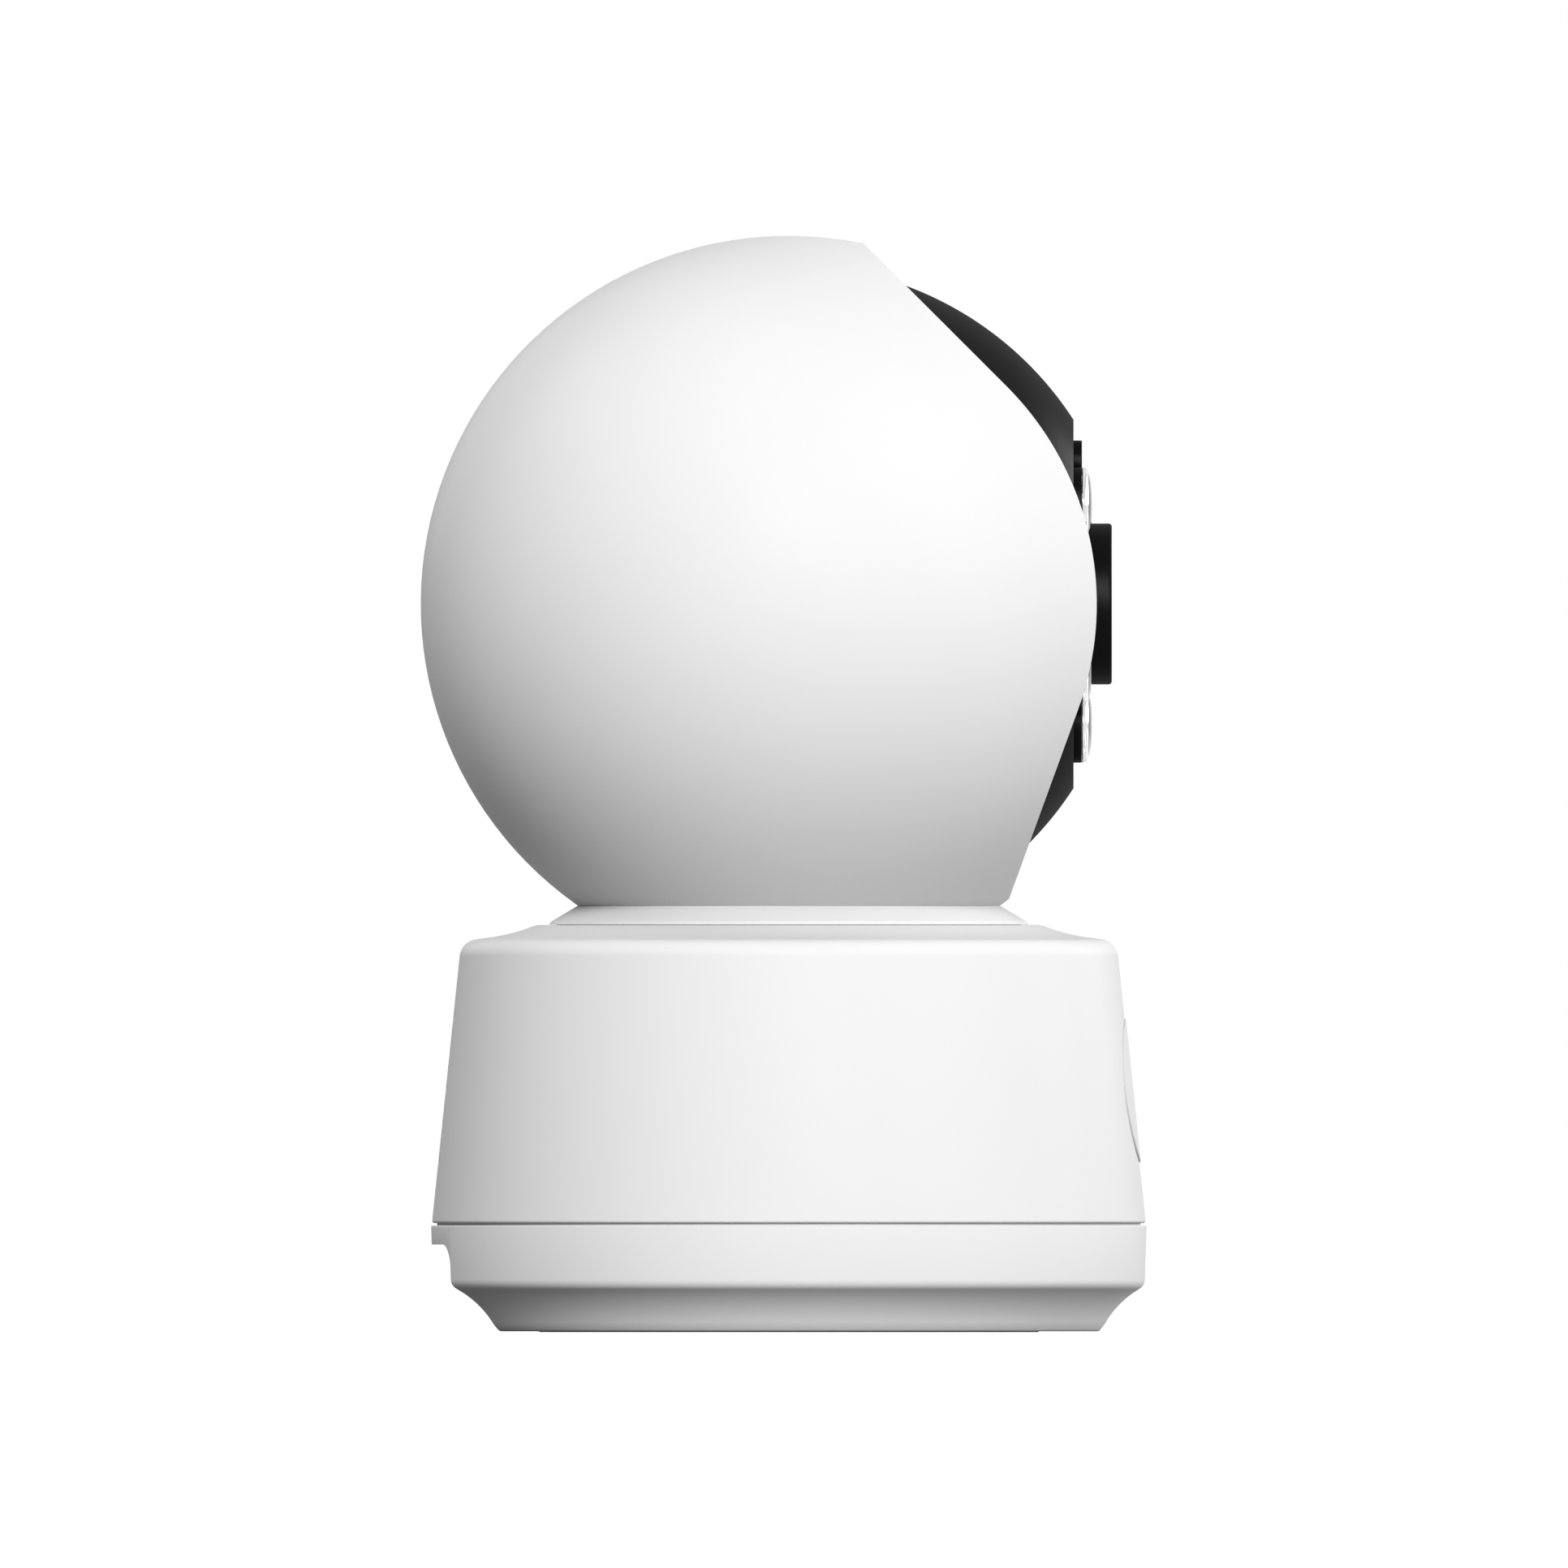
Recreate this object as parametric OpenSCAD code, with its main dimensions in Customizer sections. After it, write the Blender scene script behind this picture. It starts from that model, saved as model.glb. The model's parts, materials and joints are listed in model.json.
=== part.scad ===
// Indoor pan-and-tilt security camera.
// A round base stands on the table, a spherical head turns on it, and a black ball with the
// lens and the night lights tilts behind the opening of the head.
// Millimetres, +Z up, origin at the centre of the underside. The lens looks along -Y.

/* [Head] */
// Height of the centre of the head above the table
head_z = 79.7; // [79:0.1:80.5]
// Outer radius of the head
head_r = 40.3; // [40:0.1:40.6]
// Wall of the head shells
head_wall = 2.0; // [1.8:0.1:2.2]
// Height at which the head is cut off flat
neck_z = 46.66; // [46.4:0.02:46.9]
// Radius of the round opening, which is stretched up and down by the tilt
opening_r = 22.07; // [21.5:0.01:22.4]
// Largest tilt of the lens above level, degrees
tilt_up = 45; // [40:1:45]
// Largest tilt of the lens below level, degrees
tilt_down = 20; // [15:1:20]

/* [Ball] */
// Outer radius of the ball
ball_r = 37.12; // [36.9:0.01:37.3]
// Wall of the ball
ball_wall = 1.6; // [1.4:0.1:1.7]
// Half width of the ball between its flat cheeks
ball_half = 23.6; // [23.2:0.1:23.8]
// Distance from the tilt axis to the flat front of the ball
face_f = 31.16; // [30.9:0.02:31.4]
// Distance from the tilt axis to the flat back of the ball
back_f = 7.5; // [7:0.1:7.5]

/* [Lens and lights] */
// Outer radius of the lens bezel
bezel_r = 8.81; // [8.5:0.01:9]
// Distance from the tilt axis to the front of the lens bezel
bezel_f = 35.35; // [35:0.05:35.6]
// Radius of the circle on which the night lights sit
led_pitch = 14.04; // [14:0.02:14.1]
// Radius of one night light
led_r = 4.18; // [4:0.02:4.3]
// Height of the black collar under each night light
collar_h = 0.92; // [0.8:0.02:1]
// Height of the clear dome of each night light
dome_h = 1.06; // [0.9:0.02:1.2]
// Radius of the light sensor window
sensor_r = 2.5; // [2.3:0.1:2.6]
// Height of the light sensor above the lens axis
sensor_up = 15.4; // [15.2:0.1:15.5]

/* [Turntable] */
// Outer radius of the turntable collar
collar_r = 26.3; // [26:0.1:26.5]
// Radius of the neck that passes through the base
neck_r = 21.2; // [21:0.05:21.3]
// Radius of the hole in the base for the neck
neck_hole_r = 21.5; // [21.4:0.05:21.6]

/* [Base] */
// Outer radius of the base housing at its lower edge
base_low_r = 39.06; // [38.9:0.02:39.2]
// Outer radius of the base housing under its shoulder
base_high_r = 36.07; // [35.9:0.01:36.2]
// Height of the lower edge of the base housing
seam_z = 11.95; // [11.8:0.05:12.1]
// Height of the flat ring on top of the base
flange_z = 44.57; // [44.5:0.01:44.6]
// Wall of the base
base_wall = 2.0; // [1.8:0.1:2.1]
// Outer radius of the bottom tray at its upper edge
tray_r = 39.15; // [39:0.05:39.3]

/* [Cable notch] */
// Half width of the cable notch in the back of the tray
notch_half = 12.2; // [11.5:0.1:12.5]
// Height of the top of the cable notch
notch_top = 9.6; // [9.2:0.1:9.7]
// Distance of the back wall of the notch from the pan axis
notch_y = 28; // [27.8:0.1:28.4]

/* [Gears] */
// Module of the pan gears
pan_module = 0.6; // [0.6:0.1:0.6]
// Teeth of the pan gear
pan_teeth = 75; // [75:1:75]
// Teeth of the pan pinion
pan_pinion_teeth = 14; // [14:1:14]
// Module of the tilt gears
tilt_module = 0.5; // [0.5:0.1:0.5]
// Teeth of the tilt gear
tilt_teeth = 42; // [42:1:42]
// Teeth of the tilt pinion
tilt_pinion_teeth = 14; // [14:1:14]

/* [Hidden] */
$fn = 96;

big = 60;
head_in_r = head_r - head_wall;
ball_in_r = ball_r - ball_wall;
cheek_in = ball_half - ball_wall;
face_in = face_f - ball_wall;
collar_f = face_f + collar_h;

// Turntable and pan gear
collar_z = flange_z + 0.2;
flange_low_z = flange_z - base_wall;
turntable_low_z = flange_low_z - 0.27;
pan_gear_h = 3.3;
pan_gear_z = turntable_low_z - pan_gear_h;
pan_bore_r = 15.3;
pan_distance = pan_module * (pan_teeth + pan_pinion_teeth) / 2;
pan_pinion_z = pan_gear_z - 0.4;
pan_pinion_top = flange_low_z - 1.17;
dish_r = ball_r + 0.78;
head_screw_r = 19.6;
gear_screw_r = 18.5;
gear_screw_angles = [0, 180, 270];
pad_z = 44.8;
pad_r = 2.2;

// Pan motor, hung under a bracket
pan_motor_x = pan_distance - 8;
pan_motor_r = 12;
pan_motor_low = 17;
pan_motor_top = 34;
bracket_h = 1.2;
bracket_top = pan_motor_top + bracket_h;
motor_ear_y = 15.5;
standoff_at = [14, 25];
bracket_holes = [for (side = [-1, 1], p = [[pan_motor_x, motor_ear_y], standoff_at])
    [p[0], side * p[1]]];
shaft_r = 1.5;
shaft_hole_r = shaft_r + 0.05;

// Harness, which crosses between the base and the head on the pan axis
cable_r = 0.6;
harness_z = 37;

// Base
post_at = 30;
post_joint_z = 9;
tray_low_z = 0.2;
tray_floor_z = 1.8;
foot_r = 27.4;
foot_in_r = 24;
board_z = 2.6;
board_h = 1.2;
board_top = board_z + board_h;
base_screws = [[-14, -15], [14, -15], [-20, 6], [20, 6]];
insert_r = 4.5;
insert_h = 7;
insert_bore_r = 2.59;
insert_boss_r = 7;
speaker_z = 26.6;
speaker_r = 12;
speaker_y = 33.2;
badge_r = 7.85;
badge_z = 26.45;
badge_h = 0.15;
base_taper = (base_low_r - base_high_r) / (41 - seam_z);

// The night lights sit at every 40 degrees, and the top place is the light sensor's
ir_angles = [for (i = [1, 2, 4, 5, 7, 8]) 90 + 40 * i];
white_angles = [90 + 40 * 3, 90 + 40 * 6];
led_angles = concat(ir_angles, white_angles);

// Small screws: thread radius, clearance hole radius, head radius and head height
thread_r = 0.8;
clear_r = 0.95;
screw_head_r = 1.7;
screw_head_h = 1.1;

// Tilt pivots and drive
stub_r = 4;
stub_end = 31.5;
ear_r = 7;
shoulder_end = ball_half + 0.7;
boss_start = 25.4;
boss_r = 8;
bushing_r = 5.5;
bushing_end = 32;
tilt_gear_x = 25.9;
tilt_gear_w = 3;
tilt_distance = tilt_module * (tilt_teeth + tilt_pinion_teeth) / 2;
tilt_motor_f = 5;
tilt_motor_down = sqrt(tilt_distance * tilt_distance - tilt_motor_f * tilt_motor_f);
tilt_motor_r = 8.5;
// Angle of the tilt pinion about the tilt axis, from straight down towards the front
pinion_angle = asin(tilt_motor_f / tilt_distance);
tilt_ear = 11;
peg_at = 12;
stop_angle = 10;

// Boards of the camera, as distances forward of the tilt axis
camera_board_f = 16.5;
holder_f = camera_board_f + 1;
led_board_f = face_in - 1;
board_post_at = 17;
board_post_r = 1.7;
ball_screw_at = [14, 30.4];
board_posts = [30, 150, -50, 230];
filter_f = 19.2;
filter_h = 1;
card_elevation = -68;
card_x = -6;
button_x = 3.5;

// Main board in the back of the head
main_board_y = 25;
main_board_low = -21.7;
main_board_high = 6.3;
main_screws = [for (x = [-13, 13], z = [-18.2, 3]) [x, z]];

// ---------- shared shapes ----------

// Points along an arc about [cx, cy].
function arc(cx, cy, r, a0, a1, steps) = [
    for (i = [0 : steps]) let (a = a0 + (a1 - a0) * i / steps) [cx + r * cos(a), cy + r * sin(a)]
];

function base_r(z) = base_low_r - base_taper * (z - seam_z);

function involute(a) = tan(a) - a * PI / 180;

// Half the angle of a gear tooth at radius r, for a 25 degree pressure angle and some backlash.
function tooth_half(m, teeth, r) = let (
    pitch = m * teeth / 2,
    base = pitch * cos(25),
    slack = 0.05
) (PI / (2 * teeth) - slack / pitch + involute(25) - involute(acos(min(1, base / r)))) * 180 / PI;

// Outline of a gear with involute teeth, one tooth on the +X axis.
module gear_outline(m, teeth) {
    pitch = m * teeth / 2;
    root = pitch - 1.25 * m;
    tip = pitch + m;
    base = max(pitch * cos(25), root + 0.01);
    radii = [base, (base + pitch) / 2, pitch, (pitch + tip) / 2, tip];
    polygon([
        for (t = [0 : teeth - 1]) let (a = 360 * t / teeth)
            for (p = concat(
                [[root, a - tooth_half(m, teeth, base)]],
                [for (r = radii) [r, a - tooth_half(m, teeth, r)]],
                [for (i = [len(radii) - 1 : -1 : 0]) [radii[i], a + tooth_half(m, teeth, radii[i])]],
                [[root, a + tooth_half(m, teeth, base)]]
            )) [p[0] * cos(p[1]), p[0] * sin(p[1])]
    ]);
}

module ring(r, hole, h) {
    difference() {
        cylinder(r = r, h = h);
        translate([0, 0, -1]) cylinder(r = hole, h = h + 2);
    }
}

module at_angles(angles, r) {
    for (a = angles) rotate(a) translate([r, 0, 0]) children();
}

module at_head() {
    translate([0, 0, head_z]) children();
}

// Local +Z points out of the ball at this elevation, local +X stays +X.
module on_ball(elevation) {
    at_head() rotate([90 - elevation, 0, 0]) children();
}

module along_lens() {
    on_ball(0) children();
}

// Local +Z points along +X or -X, away from the middle of the head.
module on_side(side) {
    at_head() rotate([0, side * 90, 0]) children();
}

// A screw pointing up, with a cross recess, its head below z = 0.
module screw(length, head_r = screw_head_r, head_h = screw_head_h, r = thread_r) {
    difference() {
        union() {
            translate([0, 0, -head_h]) cylinder(r = head_r, h = head_h);
            cylinder(r = r, h = length);
        }
        for (a = [0, 90]) rotate(a) translate([-head_r * 0.6, -0.2, -head_h - 1])
            cube([head_r * 1.2, 0.4, 1.5]);
    }
}

// A round cable along a route, with one ring of eight sides at each point.
module cable(route, across) {
    sides = 8;
    last = len(route) - 1;
    function heading(i) =
        let (v = route[min(i + 1, last)] - route[max(i - 1, 0)]) v / norm(v);
    function rim(i, a) = let (
        h = heading(i),
        c = cross(h, across),
        u = c / norm(c),
        v = cross(h, u)
    ) route[i] + cable_r * (cos(a) * u + sin(a) * v);
    points = [for (i = [0 : last], s = [0 : sides - 1]) rim(i, 360 * s / sides)];
    walls = [for (i = [0 : last - 1], s = [0 : sides - 1]) let (t = (s + 1) % sides)
        [i * sides + s, i * sides + t, (i + 1) * sides + t, (i + 1) * sides + s]];
    start = [for (s = [sides - 1 : -1 : 0]) s];
    end = [for (s = [0 : sides - 1]) last * sides + s];
    polyhedron(points, concat([start], walls, [end]));
}

// ---------- base ----------

module housing_shell() {
    rotate_extrude() polygon(concat(
        [[base_low_r - base_wall, seam_z], [base_low_r, seam_z]],
        arc(33.98, 40.95, 2.06, 6, 84, 8),
        arc(35.6, 64.26, 21.25, -96, -111, 6),
        [[27.4, flange_z], [25.6, flange_z], [25.6, flange_z - 0.7], [22.2, flange_z - 0.7]],
        [[22.2, flange_z], [neck_hole_r, flange_z], [neck_hole_r, flange_low_z]],
        [[27.5, flange_low_z], [33.2, 41.2], [base_r(40.3) - base_wall, 40.3]]
    ));
}

// Ring behind the wall that the speaker is glued to.
module speaker_seat() {
    intersection() {
        translate([0, speaker_y, speaker_z]) rotate([-90, 0, 0]) ring(speaker_r + 0.8, 10.5, 8);
        cylinder(r1 = base_r(0) - 1, r2 = base_r(45) - 1, h = 45);
    }
}

module speaker_holes() {
    pitch = 2.3;
    for (i = [-4 : 4], j = [-4 : 4]) let (x = pitch * (i + j / 2), z = pitch * j * sqrt(3) / 2)
        if (abs(x) < 2.9 && abs(z) < 8.4)
            translate([x, speaker_y, speaker_z + z]) rotate([-90, 0, 0]) cylinder(r = 0.6, h = 10);
}

// Fixed arm under the pan gear that ends the travel of the turntable.
module pan_stop_arm() {
    translate([-0.45, -28, pan_gear_z - 1.3]) cube([0.9, 7.9, 1]);
    translate([-1.5, -29, pan_gear_z - 1.3]) cube([3, 3, 4.9]);
}

module base_housing() {
    color("white") difference() {
        union() {
            housing_shell();
            at_angles([45 : 90 : 315], post_at)
                translate([0, 0, post_joint_z]) cylinder(r = 3, h = 42.2 - post_joint_z);
            for (side = [-1, 1]) translate([standoff_at[0], side * standoff_at[1], bracket_top])
                cylinder(r = 2.4, h = 42.6 - bracket_top);
            speaker_seat();
            pan_stop_arm();
        }
        at_angles([45 : 90 : 315], post_at) translate([0, 0, 8]) cylinder(r = 1.05, h = 12);
        for (side = [-1, 1]) translate([standoff_at[0], side * standoff_at[1], 30])
            cylinder(r = thread_r, h = 9.4);
        speaker_holes();
    }
}

module tray_outline() {
    polygon(concat(
        [[0, tray_low_z], [33.8, tray_low_z], [34.2, 0.4]],
        arc(43.54, -4.17, 10.3, 151, 121.5, 7),
        [[38.58, 4.92], [38.84, 5.35], [38.95, 5.9], [tray_r, 11.56]],
        [[38.9, 11.56], [38.9, seam_z], [36.7, seam_z], [36.7, 13.4], [35.4, 13.4]],
        [[0, 13.4]]
    ));
}

module tray_room() {
    polygon([
        [0, tray_floor_z], [33, tray_floor_z], [36.9, 6.2], [36.9, 9.6], [35.4, 10.6],
        [35.4, 20], [0, 20]
    ]);
}

// Room for the plug, open to the back and to the underside.
module cable_notch() {
    corner = 2.5;
    translate([0, notch_y, 0]) rotate([90, 0, 180]) linear_extrude(20) polygon(concat(
        [[-notch_half, -1], [notch_half, -1]],
        arc(notch_half - corner, notch_top - corner, corner, 0, 90, 6),
        arc(corner - notch_half, notch_top - corner, corner, 90, 180, 6)
    ));
}

module tray_shell() {
    difference() {
        rotate_extrude() tray_outline();
        difference() {
            rotate_extrude() tray_room();
            translate([-notch_half - 1.8, notch_y - 1.8, 0])
                cube([2 * notch_half + 3.6, 20, notch_top + 1.6]);
        }
    }
}

module bottom_tray() {
    color("white") difference() {
        union() {
            tray_shell();
            at_angles([45 : 90 : 315], post_at)
                translate([0, 0, 1]) cylinder(r = 3.4, h = post_joint_z - 1);
            for (p = base_screws) translate([p[0], p[1], 1]) cylinder(r = 2, h = board_z - 1);
            cylinder(r = insert_boss_r, h = insert_h + 1);
        }
        translate([0, 0, -1]) cylinder(r = big, h = tray_low_z + 1);
        cable_notch();
        translate([0, 0, -1]) ring(foot_r, foot_in_r, 2);
        translate([0, 0, -1]) cylinder(r = insert_r, h = insert_h + tray_low_z + 1);
        at_angles([45 : 90 : 315], post_at) {
            translate([0, 0, -1]) cylinder(r = 2.6, h = 4.4);
            cylinder(r = 1.2, h = 12);
        }
        for (p = base_screws) translate([p[0], p[1], 0.6]) cylinder(r = thread_r, h = 3);
        translate([-4.1, notch_y - 3, board_top - 0.2]) cube([8.2, 4, 3.2]);
    }
}

module foot_ring() {
    color([0.25, 0.25, 0.26]) ring(foot_r, foot_in_r, 1);
}

module tripod_insert() {
    color([0.8, 0.65, 0.3]) translate([0, 0, tray_low_z]) ring(insert_r, insert_bore_r, insert_h);
}

module tray_screws() {
    color("silver") at_angles([45 : 90 : 315], post_at)
        translate([0, 0, 3.4]) screw(14, 2.2, 1.4, 1.05);
}

module base_board() {
    color([0.1, 0.35, 0.2]) difference() {
        union() {
            translate([0, 0, board_z]) cylinder(r = 32.3, h = board_h);
            translate([-22, -8, board_top]) cube([12, 12, 2.2]);
            translate([12, -6, board_top]) cube([7, 7, 1]);
            translate([-4, -17.5, board_top]) cube([8, 4, 2]);
            translate([16, 13, board_top]) cylinder(r = 3, h = 6);
        }
        translate([0, 0, 2]) cylinder(r = 7.3, h = 2.5);
        translate([-notch_half - 2, notch_y - 2, 2]) cube([2 * notch_half + 4, 10, 5]);
        at_angles([45 : 90 : 315], post_at) translate([0, 0, 2]) cylinder(r = 3.6, h = 5);
        for (p = base_screws) translate([p[0], p[1], 2]) cylinder(r = clear_r, h = 5);
    }
}

module base_board_screws() {
    color("silver") for (p = base_screws)
        translate([p[0], p[1], board_top]) mirror([0, 0, 1]) screw(3);
}

module power_socket() {
    front = notch_y - 0.2;
    color("silver") {
        difference() {
            translate([-3.8, front - 5.5, board_top]) cube([7.6, 5.5, 2.8]);
            translate([-3.4, front - 5, board_top + 0.4]) cube([6.8, 6, 2]);
        }
        translate([-2, front - 5.2, board_top + 1.2]) cube([4, 4.4, 0.6]);
    }
}

module speaker() {
    color([0.2, 0.2, 0.2]) translate([0, speaker_y, speaker_z]) rotate([90, 0, 0])
        rotate_extrude() polygon([
            [0, 0.8], [3.4, 0.8], [4, 1.6], [9, 0.5], [10.4, 0.5], [10.6, 0], [speaker_r, 0],
            [speaker_r, 1], [8, 2.6], [7, 5], [0, 5]
        ]);
}

module wifi_antenna() {
    low = 16;
    high = 26;
    color([0.75, 0.5, 0.2]) rotate_extrude(angle = 36, start = 196) polygon([
        for (p = [[low, 0.3], [low, 0], [high, 0], [high, 0.3]])
            [base_r(p[0]) - base_wall - p[1], p[0]]
    ]);
}

module motor_bracket() {
    half = [[32, 6], [20.5, 17], [17.2, 20.5], [16.8, 27.5], [11, 27.5], [8, 14]];
    color("silver") difference() {
        translate([0, 0, pan_motor_top]) linear_extrude(bracket_h) polygon(concat(
            half, [for (i = [len(half) - 1 : -1 : 0]) [half[i][0], -half[i][1]]]
        ));
        translate([pan_distance, 0, 30]) cylinder(r = 4.7, h = 10);
        for (p = bracket_holes) translate([p[0], p[1], 30]) cylinder(r = clear_r, h = 10);
    }
}

module bracket_screws() {
    color("silver") for (side = [-1, 1]) {
        translate([pan_motor_x, side * motor_ear_y, pan_motor_top - 0.8]) screw(2.6);
        translate([standoff_at[0], side * standoff_at[1], pan_motor_top]) screw(4.6);
    }
}

module pan_motor() {
    color([0.75, 0.75, 0.77]) difference() {
        union() {
            translate([pan_motor_x, 0, pan_motor_low])
                cylinder(r = pan_motor_r, h = pan_motor_top - pan_motor_low - 0.8);
            translate([pan_motor_x, 0, pan_motor_top - 0.8]) {
                cylinder(r = pan_motor_r, h = 0.8);
                translate([-3, -motor_ear_y, 0]) cube([6, 2 * motor_ear_y, 0.8]);
                for (side = [-1, 1])
                    translate([0, side * motor_ear_y, 0]) cylinder(r = 3.2, h = 0.8);
            }
            translate([pan_distance, 0, pan_motor_top - 1]) cylinder(r = 4.4, h = 2.5);
            translate([pan_motor_x - pan_motor_r - 2, -5, 20]) cube([5, 10, 9]);
        }
        translate([pan_distance, 0, 25.5]) cylinder(r = shaft_hole_r, h = 12);
        for (side = [-1, 1]) translate([pan_motor_x, side * motor_ear_y, 30])
            cylinder(r = thread_r, h = 6);
    }
}

module pan_shaft() {
    color("silver") translate([pan_distance, 0, 26])
        cylinder(r = shaft_r, h = pan_pinion_top - 26);
}

module pan_pinion() {
    color("white") difference() {
        translate([pan_distance, 0, pan_pinion_z]) rotate(180 / pan_pinion_teeth)
            linear_extrude(pan_pinion_top - pan_pinion_z)
                gear_outline(pan_module, pan_pinion_teeth);
        translate([pan_distance, 0, 30]) cylinder(r = shaft_r, h = 20);
    }
}

module slide_ring() {
    color([0.9, 0.9, 0.85]) translate([0, 0, flange_z - 0.7]) ring(25.4, 22.4, 0.8);
}

module base_harness() {
    color([0.15, 0.15, 0.15]) cable([
        [0, -15.5, 5.8], [0, -15.5, 8], [0, -14, 11], [0, -8, 18], [0, -2, 25], [0, 0, 30],
        [0, 0, harness_z]
    ], [1, 0, 0]);
}

module front_badge() {
    color([0.93, 0.93, 0.93]) intersection() {
        rotate_extrude() polygon([
            for (p = [[15, 0], [15, badge_h], [38, badge_h], [38, 0]])
                [base_r(p[0]) + p[1], p[0]]
        ]);
        translate([0, -30, badge_z]) rotate([90, 0, 0]) cylinder(r = badge_r, h = 12);
    }
}

// ---------- head ----------

// Holes for the screws that clamp the gear, the turntable and the shells together.
module head_screw_holes() {
    at_angles([45 : 90 : 315], head_screw_r) translate([0, 0, 30]) cylinder(r = clear_r, h = 20);
}

module turntable() {
    color("white") difference() {
        rotate_extrude() polygon([
            [0, 40.2], [15.2, 40.2], [15.2, turntable_low_z], [neck_r, turntable_low_z],
            [neck_r, collar_z], [collar_r, collar_z], [collar_r, collar_z + 0.08],
            [collar_r - 0.2, collar_z + 0.2], [23.14, neck_z], [0, neck_z]
        ]);
        at_head() sphere(r = dish_r);
        at_angles([45 : 90 : 315], head_screw_r)
            translate([0, 0, pad_z]) cylinder(r = pad_r + 0.05, h = 5);
        head_screw_holes();
        at_angles(gear_screw_angles, gear_screw_r)
            translate([0, 0, 40]) cylinder(r = thread_r, h = 5.4);
        translate([-3, 18, 40]) cube([6, 2.3, 5]);
        translate([-3, 18.2, pad_z]) cube([6, 3.2, 5]);
    }
}

module pan_gear() {
    color([0.95, 0.95, 0.92]) difference() {
        union() {
            translate([0, 0, pan_gear_z]) linear_extrude(pan_gear_h)
                gear_outline(pan_module, pan_teeth);
            translate([-0.4, 19.9, pan_gear_z - 1.3]) cube([0.8, 1.3, 1.4]);
        }
        translate([0, 0, 30]) cylinder(r = pan_bore_r, h = 20);
        head_screw_holes();
        at_angles([45 : 90 : 315], head_screw_r)
            translate([0, 0, pan_gear_z - 1]) cylinder(r = 1.9, h = 2.5);
        at_angles(gear_screw_angles, gear_screw_r) translate([0, 0, pan_gear_z - 1]) {
            cylinder(r = clear_r, h = 8);
            cylinder(r = 1.9, h = 2.5);
        }
        translate([-3, 16.9, 35]) cube([6, 2.9, 10]);
    }
}

module pan_gear_screws() {
    color("silver") at_angles(gear_screw_angles, gear_screw_r)
        translate([0, 0, pan_gear_z + 1.5]) screw(4.5);
}

module head_screws() {
    color("silver") at_angles([45 : 90 : 315], head_screw_r)
        translate([0, 0, pan_gear_z + 1.5]) screw(6.5);
}

// The space swept by the round opening as the lens tilts through its range.
module opening_sweep() {
    at_head() rotate([90, 0, 90]) linear_extrude(2 * opening_r + 0.04, center = true) polygon([
        [0, 0],
        big * [-cos(tilt_up), sin(tilt_up)],
        big * [-cos(tilt_down), -sin(tilt_down)]
    ]);
    for (elevation = [tilt_up, -tilt_down]) on_ball(elevation) cylinder(r = opening_r, h = big);
}

// The left half of the hollow head, before its opening is cut.
module half_sphere() {
    on_side(-1) rotate_extrude() difference() {
        circle(r = head_r);
        circle(r = head_in_r);
        translate([-big, -big]) square([big, 2 * big]);
        translate([0, -big]) square([big, big]);
        translate([head_r - 0.25, 0]) square([1, 0.15]);
    }
}

// Bosses inside the left half: the tilt pivot, the screw pads and the posts of the main board.
module head_bosses() {
    intersection() {
        union() {
            on_side(-1) translate([0, 0, boss_start]) cylinder(r = boss_r, h = 14);
            for (p = main_screws) if (p[0] < 0)
                at_head() translate([p[0], main_board_y + board_h, p[1]])
                    rotate([-90, 0, 0]) cylinder(r = 2, h = 14);
        }
        at_head() sphere(r = head_in_r + 0.4);
    }
    difference() {
        at_angles([135, 225], head_screw_r)
            translate([0, 0, pad_z]) cylinder(r = pad_r, h = 4);
        at_head() sphere(r = ball_r + 0.48);
    }
}

// The left half of the head, which the right half mirrors.
module head_half() {
    difference() {
        union() {
            difference() {
                half_sphere();
                translate([-big, -big, neck_z - big]) cube([2 * big, 2 * big, big]);
                opening_sweep();
            }
            head_bosses();
        }
        on_side(-1) translate([0, 0, boss_start - 1])
            cylinder(r = bushing_r, h = 37.2 - boss_start + 1);
        at_angles([45 : 90 : 315], head_screw_r)
            translate([0, 0, pad_z - 1]) cylinder(r = thread_r, h = 3.4);
        for (p = main_screws) at_head() translate([p[0], main_board_y, p[1]])
            rotate([-90, 0, 0]) cylinder(r = thread_r, h = 5);
        translate([-3, 18, neck_z - 1]) cube([6, 3.4, 3]);
    }
}

module head_shell_left() {
    color("white") {
        difference() {
            head_half();
            at_head() translate([-36.8, 0, -2]) cube([3.8, 9, 4]);
        }
        at_head() translate([-27.4, -14, -1]) cube([2, 7, 2]);
    }
}

module head_shell_right() {
    color("white") mirror([1, 0, 0]) head_half();
}

module pivot_bushings() {
    color([0.9, 0.9, 0.85]) for (side = [-1, 1]) on_side(side) difference() {
        union() {
            translate([0, 0, boss_start - 1]) cylinder(r = ear_r, h = 1);
            translate([0, 0, boss_start]) cylinder(r = bushing_r, h = bushing_end - boss_start);
        }
        cylinder(r = stub_r + 0.05, h = 50);
    }
}

// The fixed gear that the tilt pinion walks around. One tooth points at the pinion.
module tilt_gear() {
    color([0.95, 0.95, 0.92]) at_head() rotate([0, 90, 0]) rotate(-pinion_angle)
        translate([0, 0, tilt_gear_x]) difference() {
            linear_extrude(tilt_gear_w) gear_outline(tilt_module, tilt_teeth);
            translate([0, 0, -1]) cylinder(r = boss_r, h = tilt_gear_w + 2);
        }
}

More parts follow.
